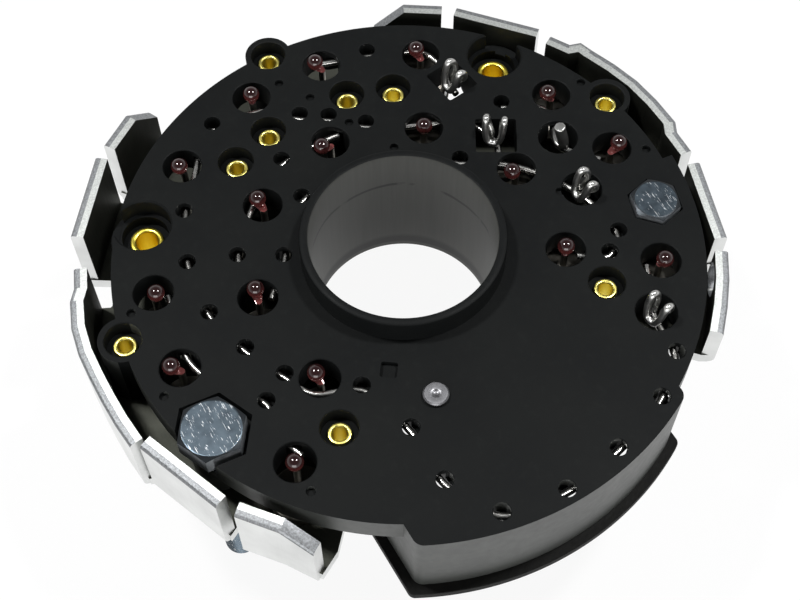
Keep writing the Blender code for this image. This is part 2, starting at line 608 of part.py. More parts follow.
def bolt_set(bolt):
    """Hexagon bolt with the washer and nut that clamp the heat sink under the moulding."""
    top = PLATE_TOP + bolt["proud"]
    under_head = top - bolt["head"]
    bm = bmesh.new()
    add_prism(bm, hexagon(bolt), under_head, top)
    head = add_object(bolt["name"] + "_bolt", bm, ZINC)

    bm = bmesh.new()
    half_flats = bolt["flats"] / 2
    reach = half_flats / math.cos(math.pi / 6)
    drop = (reach - half_flats) * math.tan(math.radians(30))
    add_turned_at(bm, bolt["at"], [(0, top + 1), (reach + 1, top + 1), (reach + 1, top - drop - 0.6),
                                   (half_flats * 0.96, top), (0, top)], 28)
    combine(head, add_object(bolt["name"] + "_chamfer", bm), "DIFFERENCE")

    bm = bmesh.new()
    add_turned_at(bm, bolt["at"], [(0, under_head + 1), (bolt["r"], under_head + 1),
                                   (bolt["r"], bolt["end"] + 1), (bolt["r"] - 0.8, bolt["end"]),
                                   (0, bolt["end"])], 16)
    combine(head, add_object(bolt["name"] + "_shank", bm), "UNION")

    washer_top = floor_top(bolt["at"]) - SHEET - GAP
    washer_low = washer_top - bolt["washer"]
    hole = bolt["r"] + GAP
    turned(bolt["name"] + "_washer", [(hole, washer_top), (bolt["washer_r"], washer_top),
                                      (bolt["washer_r"], washer_low), (hole, washer_low)],
           18, ZINC, bolt["at"], closed=True)

    nut_top = washer_low - GAP
    bm = bmesh.new()
    add_prism(bm, hexagon(bolt), nut_top - bolt["nut"], nut_top)
    nut = add_object(bolt["name"] + "_nut", bm, ZINC)
    bm = bmesh.new()
    add_round(bm, bolt["at"], hole, nut_top - bolt["nut"] - 1, nut_top + 1, 16)
    combine(nut, add_object(bolt["name"] + "_nut_bore", bm), "DIFFERENCE")


def solid_rivet():
    head_low = PLATE_TOP + GAP
    tail_top = PLATE_BOTTOM - GAP
    profile = [(0, head_low + PIN_HEAD), (PIN_HEAD_R - 0.4, head_low + PIN_HEAD),
               (PIN_HEAD_R, head_low + PIN_HEAD - 0.4), (PIN_HEAD_R, head_low), (PIN_R, head_low),
               (PIN_R, tail_top), (PIN_TAIL_R, tail_top), (PIN_TAIL_R, tail_top - PIN_HEAD),
               (0, tail_top - PIN_HEAD)]
    turned("solid_rivet", profile, 14, TINNED, PIN_AT)


def wire(name, points, radius=WIRE_R):
    """Round wire along points in millimetres."""
    curve = bpy.data.curves.new(name, "CURVE")
    curve.dimensions = "3D"
    curve.bevel_depth = radius * MM
    curve.bevel_resolution = 1
    curve.use_fill_caps = True
    spline = curve.splines.new("POLY")
    spline.points.add(len(points) - 1)
    for target, point in zip(spline.points, points):
        target.co = (*(Vector(point) * MM), 1.0)
    curve.materials.append(material(name, TINNED))
    obj = bpy.data.objects.new(name, curve)
    bpy.context.scene.collection.objects.link(obj)
    return obj


def stator_hook(name, spec):
    """Bent wire hook: two arches joined by a loop, its legs welded on the wire below."""
    if spec["hook"] is None:
        centre = polar(spec["at"], PLATE_TOP)
        return wire(name, [centre + Vector(p) for p in STUB], STUB_R)
    spin = Matrix.Rotation(math.radians(spec["lean"]), 3, "Z")
    path = []
    for side in (-1, 1):
        half = [polar(spec["hook"], PLATE_TOP) + spin @ Vector((side * x, y, z))
                for x, y, z in HOOK_HALF]
        half += [polar(spec["at"], PLATE_TOP) + spin @ Vector((side * x, y, z))
                 for x, y, z in HOOK_FEET]
        path = half[::-1] if side < 0 else path + half[1:]
    return wire(name, path)


def box_seal():
    bm = bmesh.new()
    add_prism(bm, box_outline(SEAL_OVERHANG, BOX_INNER_Y + SEAL_OVERHANG), 0, SEAL_THICK)
    seal = add_object("box_seal", bm, RUBBER)
    bm = bmesh.new()
    inside = BOX_WALL + SEAL_INSET
    add_prism(bm, box_outline(-inside, BOX_INNER_Y - inside), -1, SEAL_THICK + 1)
    combine(seal, add_object("seal_opening", bm), "DIFFERENCE")


def main():
    for obj in list(bpy.data.objects):
        bpy.data.objects.remove(obj, do_unlink=True)
    moulding()
    box_seal()
    heat_sink("long_heat_sink", LONG_FINS, SPLIT + SPLIT_HALF, LONG_END, LONG_FLOOR, BIG_BOLT)
    short = heat_sink("short_heat_sink", SHORT_FINS, SHORT_START, 360 + SPLIT - SPLIT_HALF,
                      SHORT_FLOOR, SMALL_BOLT)
    fin_hole(short)
    lead_slot(short)
    for i, (at, bead_at) in enumerate(zip(diodes(), BEADS_AT), 1):
        diode(f"diode_{i:02}", at, bead_at)
    for i, at in enumerate(rivets(), 1):
        tubular_rivet(f"tubular_rivet_{i}", at)
    for i, at in enumerate(BUSHES, 1):
        mounting_bush(f"mounting_bush_{i}", at)
    for bolt in (BIG_BOLT, SMALL_BOLT):
        bolt_set(bolt)
    solid_rivet()
    for name, route in routes().items():
        wire(name, smooth_route([polar(point, WIRE_Z) for point in route]))
    for i, spec in enumerate(HOOKS, 1):
        stator_hook(f"stator_hook_{i}", spec)


main()
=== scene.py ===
"""Round rectifier of a heavy vehicle alternator, dressed for the photograph.

Sizes in the tables are millimetres and degrees; plan places are polar, (radius, angle),
counted from +X round the shaft axis. The face of the moulding lies at FACE.
"""
import math

import bmesh
import bpy
from mathutils import Matrix, Vector

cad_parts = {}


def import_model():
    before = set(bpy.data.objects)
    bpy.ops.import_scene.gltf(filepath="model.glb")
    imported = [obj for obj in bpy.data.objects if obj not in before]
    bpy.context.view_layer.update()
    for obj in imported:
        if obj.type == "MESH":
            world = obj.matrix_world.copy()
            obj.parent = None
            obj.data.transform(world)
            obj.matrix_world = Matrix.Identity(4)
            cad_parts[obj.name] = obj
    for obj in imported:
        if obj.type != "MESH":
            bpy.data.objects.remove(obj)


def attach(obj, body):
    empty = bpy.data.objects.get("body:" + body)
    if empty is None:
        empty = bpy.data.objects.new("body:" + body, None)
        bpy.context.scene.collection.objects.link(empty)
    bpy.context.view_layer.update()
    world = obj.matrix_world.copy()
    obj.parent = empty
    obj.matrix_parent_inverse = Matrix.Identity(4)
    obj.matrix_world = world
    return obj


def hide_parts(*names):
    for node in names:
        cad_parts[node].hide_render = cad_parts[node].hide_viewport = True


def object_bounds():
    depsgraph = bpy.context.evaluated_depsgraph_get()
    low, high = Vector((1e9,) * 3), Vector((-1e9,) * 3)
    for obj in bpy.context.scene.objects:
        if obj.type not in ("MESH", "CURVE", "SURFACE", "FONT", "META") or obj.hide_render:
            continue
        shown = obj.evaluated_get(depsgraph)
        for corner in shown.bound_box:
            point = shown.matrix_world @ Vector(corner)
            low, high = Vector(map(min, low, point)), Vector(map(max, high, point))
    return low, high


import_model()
cad_low, cad_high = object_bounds()

MM = 0.001
GAP = 0.3  # clearance kept between pieces that touch

# Moulding: shaft tube, face plate and the box under it, with its seal
FACE = 25.6
PLATE_BACK = 18.8
PLATE_R = 63.6
SHOULDER_R = 66.0  # wider stretch of the plate's edge beside the box
SHOULDER_SPAN = (-60.8, -8.0)
RIM_ROUND = 0.35
SKIN = 1.5  # plate left above the wire channels
EAR_R = 5.4  # ears around the rivets on the plate's edge
BORE_R = 20.5
TUBE_R = 22.5
TUBE_TOP = 31.8
TUBE_FOOT = -4.5
TUBE_LIP = 0.5  # chamfer inside the tube's top rim
SCRATCH_Z = 19.2  # height of the scratch round the bore, before its waves
BOX_R = 68.1
BOX_HALF = 32.2
BOX_BACK = -38.0
BOX_FOOT = 2.6
BOX_WALL = 2.0
BOX_CORNER = 4.0
SEAL_THICK = 2.3
SEAL_OVERHANG = 2.1
SEAL_INSET = 0.5
OUTER_WALLS_FROM = 55.0  # radius past which upright faces are outer walls
BOX_SIDES_FROM = -45.0  # Y below which faces that look along X are the box's sides

# Heat sinks: sheet floors with fins bent up; a fin's stations are (angle, inner radius)
SHEET = 3.0
FLOORS = {"long": 7.6, "short": 15.3}  # tops of the floors
SINK_INNER_R = 24.5
FLOOR_R = 68.0  # edge of the floor where there is no fin
FLOOR_REACH = SHEET * 0.6  # how far the floor goes into the fins
NOTCH_R = 66.5  # bottom of the slots between fins
NOTCH_CORNER = (0.4, 0.35)  # chamfer in their bottom corners, mm and degrees
NOTCH_EASE = 0.15  # the floor reaches past a fin's ends, degrees
NOTCH_GAP = 1.5  # from a fin to the plain edge of the floor, degrees
PLAIN_EDGE = 3.0  # shortest such edge that is made, degrees
END_CORNER = 3.7  # how far the floor's end lies inside the last fin
SPLIT = (70.8, 68.2)  # ends of the long and the short sink beside each other
LONG_END = 227.3
SHORT_START = 311.8
FOOT_BAND = 4.0  # height of a fin, from its sheet's underside, that is its bend
OUTER_FROM = SHEET * 0.6  # depth in a fin past which a point is on its outer face
OFF_FIN = 1.0  # metres, more than any sheet's thickness
LONG_FINS = (
    ((114.5, 71.1), (119.9, 71.1), (127.3, 71.1)),
    ((129.7, 71.4), (147.0, 70.4)),
    ((153.4, 68.8), (157.7, 68.7), (160.2, 69.7), (165.0, 70.1), (170.0, 69.9), (175.0, 69.4),
     (180.0, 69.2), (185.0, 69.3), (190.0, 69.5)),
    ((190.5, 68.1), (208.1, 67.5)),
    ((210.8, 67.2), (219.0, 66.5), (225.6, 67.8)),
)
SHORT_FINS = (
    ((312.1, 67.9), (317.9, 67.8), (323.6, 67.9), (329.2, 68.0)),
    ((331.7, 68.3), (348.9, 68.2)),
    ((351.3, 67.9), (356.9, 67.6), (359.1, 68.9), (364.5, 69.1), (370.0, 69.3), (375.5, 69.15),
     (381.0, 69.0), (382.6, 69.2), (383.9, 67.4), (389.1, 67.1)),
    ((391.6, 67.9), (409.2, 67.75)),
    ((411.7, 67.7), (419.4, 67.6), (425.6, 67.6)),
)
# Corners cut from a fin's top: the cut's low end (angle, drop) and its high end's angle
FIN_CUTS = {
    ("long", 0): ((114.5, 6.2), 119.9),
    ("long", 4): ((225.6, 4.0), 219.0),
    ("short", 4): ((425.6, 7.1), 419.4),
}
FIN_HOLE = {"at": (68.3, 325.8), "drop": 5.6, "r": 3.9}

# Places and radii of the diodes, rivets, bushes, bolts and the pin
OUTER_RING, INNER_RING = 54.8, 33.4
DIODES = ([(OUTER_RING, a) for a in (20.5, 55.2, 80.2, 99.8, 125.5, 161.0, 181.5, 216.2, 359.4)]
          + [(INNER_RING, a) for a in (9.6, 51.4, 89.5, 129.0, 170.7)]
          + [(35.9, 210.8), (35.5, 329.6), (56.1, 326.7)])
BEADS_AT = (  # how far each diode's bead lies beside its axis, x and y
    (-0.4, 0.9), (-0.1, 2.0), (-0.8, 1.7), (0.4, 0.9), (-0.6, 0.3), (0.5, -0.4),
    (-1.5, 1.3), (-0.1, 0.0), (2.2, 0.4), (-1.2, -0.1), (0.3, 0.4), (-2.2, 0.0),
    (-0.2, 2.1), (0.5, 2.1), (-0.1, 1.5), (0.5, 0.6), (0.9, -0.2),
)
DIODE_R = 6.35
DIODE_BODY = 2.2  # above the heat sink
LEAD_R = 0.8
WINDOW_R = 4.35  # of the window that shows a diode's bead
RIVETS = ([(44.7, a) for a in (62.6, 76.7, 103.5, 117.7, 222.6, 318.8)]
          + [(63.2, a) for a in (10.9, 90.1, 170.3)])
EDGE_RIVETS = 3  # the last ones stand in ears on the plate's edge
RIVET_R = 1.95
RIVET_POCKET_R, RIVET_POCKET_DEPTH = 4.0, 3.8
RIVET_PILLAR_R = 3.8
BUSHES = ((58.5, 37.9), (58.0, 143.2))
BUSH_R, BUSH_BORE_R = 3.0, 2.5
BUSH_POCKET_R, BUSH_POCKET_DEPTH = 6.3, 4.8
BUSH_STEP_R, BUSH_STEP_DEPTH = 5.25, 7.6
BUSH_MOUTH = 0.4
BUSH_PILLAR_R = 7.8
BUSH_FOOT_R = 5.0  # goes through the heat sink, the pillar stands on it
# Bolts: proud is how far the head stands over the face, room its clearance in its pocket
BOLTS = (
    {"name": "main_terminal", "at": (58.3, 197.8), "r": 4.0, "flats": 13.0, "head": 5.3,
     "proud": 1.5, "end": -36.2, "washer_r": 8.0, "washer": 1.6, "nut": 6.5, "turn": -6.0,
     "room": 1.1, "pillar_r": 5.6, "pitch": 1.25},
    {"name": "second_terminal", "at": (57.4, 342.0), "r": 3.0, "flats": 10.0, "head": 4.0,
     "proud": 1.2, "end": -12.0, "washer_r": 6.0, "washer": 1.4, "nut": 5.0, "turn": 12.0,
     "room": 0.5, "pillar_r": 5.0, "pitch": 1.0},
)
BOLT_FLAT, BOLT_EDGE = 0.93, 0.97  # where a hexagon's chamfer begins, of half its flats
THREAD_ROOT = 0.86  # of the thread's outer radius
PIN_AT = (36.1, 250.3)
PIN_R = 1.5

# Turned profiles: radius, and height over the level that each is counted from
DIODE_RIM = ((6.4, -1.8), (7.0, -1.4), (7.0, -0.2), (6.8, 0.0), (DIODE_R, 0.0))
DIODE_CAP = ((DIODE_R, -0.4), (5.95, 0.0), (2.2, 0.9), (1.2, 1.6), (LEAD_R, 1.9))
BEAD = ((1.3, -1.45), (1.75, -0.8), (1.9, 0.0), (1.78, 0.7), (1.35, 1.25), (0.7, 1.62),
        (0.15, 1.7))
RIVET_RING = ((1.55, 0.2), (1.62, 0.5), (1.85, 0.72), (2.1, 0.78), (2.38, 0.68), (2.56, 0.42),
              (2.6, 0.1), (2.55, 0.0), (RIVET_R, 0.0))
RIVET_FLARE = ((RIVET_R, 0.0), (2.7, 0.0), (3.0, -0.2), (3.0, -0.45), (2.75, -0.6),
               (1.75, -0.6), (1.55, -0.3))
BUSH_RING = ((BUSH_BORE_R, 0.2), (2.62, 0.5), (2.9, 0.68), (3.3, 0.7), (3.65, 0.55),
             (3.8, 0.25), (3.75, 0.0), (BUSH_R, 0.0))
PIN_TAIL = ((2.1, -1.2), (2.4, -0.9), (2.4, -GAP), (PIN_R, -GAP))
PIN_HEAD = ((PIN_R, 0.0), (2.75, 0.0), (2.8, 0.2), (2.75, 0.55), (2.45, 0.82), (1.2, 0.9),
            (0.8, 0.84), (0.5, 0.62), (0.15, 0.58))

# Small windows over the wires, blind holes, and the holes of the hooks
WIRE_WINDOW_R, WIRE_WINDOW_DEPTH = 1.85, 3.6
WINDOWS = {
    "a": (55.9, 111.6), "b": (44.3, 92.3), "c": (40.8, 84.6), "d": (36.0, 73.4),
    "e": (36.9, 108.1), "f": (26.8, 117.4), "g": (49.8, 137.6), "h": (47.1, 153.2),
    "i": (36.2, 151.5), "j": (26.1, 152.3), "k": (56.7, 68.3), "l": (46.6, 30.2),
    "m": (27.8, 31.9), "n": (47.7, 335.7), "o": (45.1, 329.1), "p": (44.2, 170.2),
    "q": (41.0, 185.5), "r": (39.0, 200.3), "s": (34.1, 225.0), "t": (46.1, 201.9),
    "u": (42.6, 241.7), "v": (54.7, 248.3), "w": (63.9, 257.3), "x": (64.8, 269.8),
    "y": (64.1, 282.3), "z": (64.1, 295.8), "end": (62.6, 305.9),
}
PINHOLES = ((54.5, 91.9), (47.2, 87.0), (36.8, 79.4), (62.2, 17.5), (61.5, 355.5), (38.3, 353.2),
            (60.1, 164.9), (60.8, 185.4), (59.5, 221.6), (27.6, 63.9))
PINHOLE_R, PINHOLE_DEPTH = 1.0, 1.2
SQUARE = {"at": (29.7, 233.8), "side": 3.6, "depth": 1.2}
HOOKS = (  # hole, its pocket and the pocket's turn if square, place and lean of the hook in it
    {"at": (48.3, 45.9), "pocket": (8.2, 9.2), "turn": 6.5, "hook": (47.5, 45.2), "lean": -85.0},
    {"at": (37.4, 24.9), "pocket": (9.4, 9.4), "turn": -30.6, "hook": (37.3, 25.7), "lean": -40.0},
    {"at": (46.6, 10.1), "pocket": None, "turn": 0.0, "hook": None, "lean": 0.0},
    {"at": (43.1, 351.5), "pocket": None, "turn": 0.0, "hook": (43.1, 350.2), "lean": -95.0},
    {"at": (56.1, 313.4), "pocket": None, "turn": 0.0, "hook": (56.2, 312.7), "lean": -79.5},
)
HOOK_HOLE_R = 4.5
# Half of a hook's middle line from its loop to a leg, the leg's foot, and the stub's line
HOOK_HALF = ((0.0, -1.7, -0.9), (1.1, -1.6, -0.6), (1.7, -1.3, 0.9), (2.05, -0.8, 3.4),
             (2.1, 0.1, 5.4), (2.05, 1.3, 4.5), (1.7, 1.6, 2.4))
HOOK_FEET = ((1.2, 0.9, 0.3), (1.2, 0.9, -1.7))
STUB = ((0.63, -1.61, -1.7), (0.33, -1.44, 0.5), (-0.37, -1.03, 3.6), (-0.66, -0.87, 5.3))
STUB_R = 1.3
STUB_TOP = (0.6, 4.0)  # rounding of the stub's rim, and a height just under the rim
LEAD_SLOT = ((52.2, 45.6), (56.5, 45.6), 2.7)  # both centres and the radius
WIRE_R = 0.8
WIRE_Z = FACE - 2.0 - WIRE_R
WIRE_SIDE = 2.8  # how far a wire passes beside a diode's axis
CHANNEL_HALF = 1.2
LEAD_TOP = 23.9  # just above the wires, the bead sits beside it


def floor_top(at):
    """Top of the heat sink's floor at a plan place."""
    on_short = at[1] > SHORT_START or at[1] < SPLIT[0]
    return FLOORS["short" if on_short else "long"]


# Modelling steps
def place(at, z=0.0):
    """A point in metres from a polar place and a height in millimetres."""
    radius, angle = at
    turn = math.radians(angle)
    return Vector((radius * math.cos(turn), radius * math.sin(turn), z)) * MM


def deselect():
    bpy.ops.object.select_all(action="DESELECT")


def pick(obj):
    """Make an object the only one selected and active."""
    deselect()
    obj.select_set(True)
    bpy.context.view_layer.objects.active = obj


def edit_all():
    """Open the active mesh for editing, all of it selected."""
    bpy.ops.object.mode_set(mode="EDIT")
    bpy.ops.mesh.select_all(action="SELECT")


def close_outward():
    """Turn all faces outward and leave edit mode."""
    bpy.ops.mesh.select_all(action="SELECT")
    bpy.ops.mesh.normals_make_consistent(inside=False)
    bpy.ops.object.mode_set(mode="OBJECT")


def added(name):
    """Name the primitive just added and bring it to the origin, its place in its mesh."""
    obj = bpy.context.object
    obj.name = name
    obj.data.name = name
    bpy.ops.object.transform_apply(location=True, rotation=True, scale=True)
    return obj


def cylinder(name, radius, low, high, at=(0.0, 0.0), sides=48):
    deselect()
    bpy.ops.mesh.primitive_cylinder_add(
        vertices=sides, radius=radius * MM, depth=(high - low) * MM,
        location=place(at, (low + high) / 2))
    return added(name)


def block(name, size, middle, turn):
    deselect()
    bpy.ops.mesh.primitive_cube_add(size=1, location=middle, rotation=(0, 0, math.radians(turn)),
                                    scale=[side * MM for side in size])
    return added(name)


def lifted(profile, level):
    """A turned profile with its heights counted from a level."""
    return [(radius, level + height) for radius, height in profile]


def turned(name, profile, sides, at=(0.0, 0.0), closed=False):
    """Draw a circle out ring by ring along a profile of (radius, height) points."""
    centre = place(at)
    radius, height = profile[0]
    deselect()
    bpy.ops.mesh.primitive_circle_add(vertices=sides, radius=radius * MM,
                                      location=place(at, height))
    obj = added(name)
    edit_all()
    for next_radius, next_height in profile[1:] + ([profile[0]] if closed else []):
        bpy.ops.mesh.extrude_edges_move(
            TRANSFORM_OT_translate={"value": (0, 0, (next_height - height) * MM)})
        factor = next_radius / radius
        bpy.ops.transform.resize(value=(factor, factor, 1),
                                 center_override=(centre.x, centre.y, next_height * MM))
        radius, height = next_radius, next_height
    bpy.ops.mesh.select_all(action="SELECT")
    if closed:
        bpy.ops.mesh.remove_doubles(threshold=1e-6)
    else:
        bpy.ops.mesh.fill_holes(sides=0)
    close_outward()
    return obj


def flat_shape(name, outline, low, high):
    """A plate with any plan outline: a circle whose points go to their places, drawn up."""
    deselect()
    bpy.ops.mesh.primitive_circle_add(vertices=len(outline), radius=MM, fill_type="NGON")
    obj = added(name)
    for vertex, point in zip(obj.data.vertices, outline):
        vertex.co = (point[0] * MM, point[1] * MM, low * MM)
    edit_all()
    bpy.ops.mesh.extrude_region_move(TRANSFORM_OT_translate={"value": (0, 0, (high - low) * MM)})
    close_outward()
    return obj


def on_edges(obj, chosen, operator, **settings):
    """Run an edit operator on the edges that a test picks out."""
    pick(obj)
    bpy.ops.object.mode_set(mode="EDIT")
    bpy.ops.mesh.select_all(action="DESELECT")
    bpy.ops.mesh.select_mode(type="EDGE")
    mesh = bmesh.from_edit_mesh(obj.data)
    for edge in mesh.edges:
        if chosen(edge):
            edge.select = True
    mesh.select_flush_mode()
    bmesh.update_edit_mesh(obj.data)
    operator(**settings)
    bpy.ops.mesh.select_mode(type="VERT")
    bpy.ops.object.mode_set(mode="OBJECT")


def bevel_edges(obj, chosen, width, segments):
    on_edges(obj, chosen, bpy.ops.mesh.bevel, offset=width * MM, segments=segments,
             affect="EDGES", clamp_overlap=True)


def bisect(obj, point, normal):
    """Cut away what lies on the side the normal points to."""
    pick(obj)
    edit_all()
    bpy.ops.mesh.bisect(plane_co=point, plane_no=normal, use_fill=True, clear_outer=True)
    bpy.ops.object.mode_set(mode="OBJECT")


def joined(name, objects):
    deselect()
    for obj in objects:
        obj.select_set(True)
    bpy.context.view_layer.objects.active = objects[0]
    bpy.ops.object.join()
    result = bpy.context.object
    result.name = name
    return result


def modify(obj, kind, **settings):
    """Add a modifier and apply it at once."""
    modifier = obj.modifiers.new(kind.lower(), kind)
    for key, value in settings.items():
        setattr(modifier, key, value)
    pick(obj)
    bpy.ops.object.modifier_apply(modifier=modifier.name)


def boolean(body, tool, operation):
    """Join a body with a tool or cut it, and delete the tool."""
    modify(body, "BOOLEAN", operation=operation, solver="EXACT", use_self=True, object=tool)
    bpy.data.objects.remove(tool, do_unlink=True)


def twin(obj, name, shift):
    """A copy with a mesh of its own, moved by a shift in metres."""
    copy = obj.copy()
    copy.data = obj.data.copy()
    copy.name = name
    copy.data.name = name
    bpy.context.scene.collection.objects.link(copy)
    copy.data.transform(Matrix.Translation(shift))
    return copy


def arc(radius, start, end, step=2.0):
    count = max(1, math.ceil(abs(end - start) / step))
    return [place((radius, start + (end - start) * i / count)).to_2d() / MM
            for i in range(count + 1)]


def smooth_route(points, step):
    """Points on a centripetal curve through the given ones, a step or so apart."""
    knots = [points[0] * 2 - points[1], *points, points[-1] * 2 - points[-2]]
    result = [points[0]]
    for a, b, c, d in zip(knots, knots[1:], knots[2:], knots[3:]):
        count = max(2, round((c - b).length / step))
        t1 = math.sqrt((b - a).length)
        t2 = t1 + math.sqrt((c - b).length)
        t3 = t2 + math.sqrt((d - c).length)
        for i in range(1, count + 1):
            t = t1 + (t2 - t1) * i / count
            p = a.lerp(b, t / t1)
            q = b.lerp(c, (t - t1) / (t2 - t1))
            r = c.lerp(d, (t - t2) / (t3 - t2))
            result.append(p.lerp(q, t / t2).lerp(q.lerp(r, (t - t1) / (t3 - t1)),
                                                 (t - t1) / (t2 - t1)))
    return result


def wire(name, points, radius=WIRE_R):
    """Round wire along points in metres, its ends capped flat."""
    deselect()
    bpy.ops.curve.primitive_nurbs_path_add()
    obj = bpy.context.object
    curve = obj.data
    curve.splines.clear()
    spline = curve.splines.new("POLY")
    spline.points.add(len(points) - 1)
    for target, point in zip(spline.points, points):
        target.co = (*point, 1.0)
    curve.dimensions = "3D"
    curve.bevel_depth = radius * MM
    curve.bevel_resolution = 3
    curve.use_fill_caps = True
    pick(obj)
    bpy.ops.object.convert(target="MESH")
    obj = bpy.context.object
    obj.name = name
    obj.data.name = name
    edit_all()
    bpy.ops.mesh.remove_doubles(threshold=1e-6)
    close_outward()
    return obj


def finished(obj, looks, node, angle=35.0, choose=None):
    """Shade a piece, dress it and let it stand for its CAD node; choose names a face's look."""
    pick(obj)
    bpy.ops.object.shade_smooth_by_angle(angle=math.radians(angle))
    modify(obj, "WEIGHTED_NORMAL", keep_sharp=True, weight=100)
    obj.data.materials.clear()
    for look in looks:
        obj.data.materials.append(LOOKS[look])
    if choose:
        for face in obj.data.polygons:
            face.material_index = looks.index(choose(face))
    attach(obj, "root")
    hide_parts(node)


# Finishes
class Value:
    """A shader socket; arithmetic on it adds Math nodes."""

    def __init__(self, nodes, socket):
        self.nodes = nodes
        self.socket = socket

    def maths(self, operation, *values):
        return self.nodes.node("ShaderNodeMath", {"operation": operation}, dict(enumerate(values)))

    def __add__(self, other):
        return self.maths("ADD", self, other)

    def __sub__(self, other):
        return self.maths("SUBTRACT", self, other)

    def __rsub__(self, other):
        return self.maths("SUBTRACT", other, self)

    def __mul__(self, other):
        return self.maths("MULTIPLY", self, other)

    def __truediv__(self, other):
        return self.maths("DIVIDE", self, other)

    def __abs__(self):
        return self.maths("ABSOLUTE", self)

    __radd__ = __add__
    __rmul__ = __mul__


class Nodes:
    """A node tree, put together node by node."""

    def __init__(self, tree):
        self.tree = tree

    def put(self, socket, value):
        if isinstance(value, Value):
            self.tree.links.new(value.socket, socket)
        else:
            socket.default_value = value

    def node(self, kind, settings=None, sockets=None, output=0):
        """Add a node: its settings first, then the values or links of its sockets."""
        node = self.tree.nodes.new(kind)
        for key, value in (settings or {}).items():
            if key == "stops":
                self.stops(node.color_ramp, value)
            else:
                setattr(node, key, value)
        for key, value in (sockets or {}).items():
            self.put(node.inputs[key], value)
        return Value(self, node.outputs[output])

    def stops(self, ramp, stops):
        """Set a ramp's stops, each a position with its colour or grey level."""
        while len(ramp.elements) < len(stops):
            ramp.elements.new(0.5)
        for element, (position, level) in zip(ramp.elements, stops):
            element.position = position
            element.color = (*(level if isinstance(level, tuple) else (level,) * 3), 1.0)

    def ramp(self, value, *stops):
        return self.node("ShaderNodeValToRGB", {"stops": stops}, {"Fac": value})

    def axis(self, coords, name):
        return self.node("ShaderNodeSeparateXYZ", {}, {"Vector": coords}, output=name)


class Finish(Nodes):
    """A material under its Principled shader."""

    def __init__(self, name, colour, roughness, metallic=0.0, coat=0.0, specular=0.5):
        self.material = bpy.data.materials.new(name)
        self.material.use_nodes = True
        super().__init__(self.material.node_tree)
        self.shader = self.tree.nodes["Principled BSDF"]
        self.set("Base Color", (*colour, 1.0))
        self.set("Roughness", roughness)
        self.set("Metallic", metallic)
        self.set("Coat Weight", coat)
        self.set("Specular IOR Level", specular)

    def set(self, name, value):
        self.put(self.shader.inputs[name], value)

    def coords(self, scale=(1.0, 1.0, 1.0), turn=(0.0, 0.0, 0.0)):
        """Object coordinates in millimetres, turned and stretched."""
        position = self.node("ShaderNodeTexCoord", output="Object")
        return self.node("ShaderNodeMapping", {"vector_type": "POINT"},
                         {"Vector": position, "Rotation": turn,
                          "Scale": tuple(s / MM for s in scale)})

    def noise(self, coords, scale, detail=3.0, rough=0.55):
        return self.node("ShaderNodeTexNoise", {}, {"Vector": coords, "Scale": scale,
                                                   "Detail": detail, "Roughness": rough})

    def mix(self, factor, first, second):
        """Blend two colours."""
        first = first if isinstance(first, Value) else (*first, 1.0)
        second = second if isinstance(second, Value) else (*second, 1.0)
        return self.node("ShaderNodeMix", {"data_type": "RGBA"},
                         {0: factor, 6: first, 7: second}, output=2)

    def bump(self, height, strength, distance):
        self.set("Normal", self.node("ShaderNodeBump", {}, {
            "Height": height, "Strength": strength, "Distance": distance * MM}))


def black_plastic():
    finish = Finish("black_moulding", (0.009, 0.0095, 0.0095), 0.5, specular=0.055)
    place_mm = finish.coords()
    cloud = finish.noise(place_mm, 0.05, 2.0)
    dust = finish.ramp(finish.noise(place_mm, 0.6, 6.0, 0.7), (0.54, 0.0), (0.8, 1.0))
    tone = finish.mix(cloud, (0.0045, 0.005, 0.0055), (0.0085, 0.0092, 0.0088))
    finish.set("Base Color", finish.mix(dust * 0.15, tone, (0.025, 0.027, 0.025)))
    finish.set("Roughness", finish.noise(place_mm, 0.35, 4.0) * 0.2 + 0.38)
    finish.bump(finish.noise(place_mm, 2.2, 3.0), 0.12, 0.08)
    return finish.material


def wall_plastic():
    """Upright outer walls of the moulding, smoother than its face; their greyer colour is a painted
    sheen of the pale floor on the same plastic.
    """
    finish = Finish("moulded_wall", (0.035, 0.037, 0.035), 0.42)
    place_mm = finish.coords()
    cloud = finish.noise(place_mm, 0.08, 3.0)
    # painted sheen: these grey tones stand in for the floor's reflection on the black plastic
    finish.set("Base Color", finish.mix(cloud, (0.026, 0.028, 0.026), (0.045, 0.048, 0.044)))
    finish.set("Roughness", finish.noise(place_mm, 0.5, 4.0) * 0.2 + 0.34)
    return finish.material


def bore_plastic():
    """Wall of the bore: painted light grey on the same black plastic, streaked upright, with a
    scratch round it and a dark foot.
    """
    finish = Finish("bore_wall", (0.05, 0.052, 0.048), 0.5, specular=0.35)
    place_mm = finish.coords()
    streak = finish.noise(finish.coords(scale=(1.0, 1.0, 0.04)), 1.2, 4.0)
    # painted light: the bore's grey tone stands in for light on the black plastic; the streaks are
    # its own
    tone = finish.mix(streak, (0.040, 0.041, 0.037), (0.066, 0.067, 0.061))
    z = finish.axis(place_mm, "Z")
    height = (z - TUBE_FOOT) / (TUBE_TOP - TUBE_FOOT)
    foot = finish.ramp(height, (0.03, 0.0), (0.04, 1.0), (0.09, 1.0), (0.13, 0.0))
    wave = finish.noise(place_mm, 0.06, 2.0) * 3.0
    mark = finish.ramp(abs(z - SCRATCH_Z - wave), (0.3, 1.0), (0.55, 0.0))
    broken = finish.ramp(finish.noise(place_mm, 0.11, 3.0), (0.47, 0.0), (0.52, 1.0))
    scratched = finish.mix(mark * broken, tone, (0.006, 0.006, 0.006))
    finish.set("Base Color", finish.mix(foot, scratched, (0.009, 0.009, 0.009)))
    finish.bump(streak, 0.2, 0.05)
    return finish.material


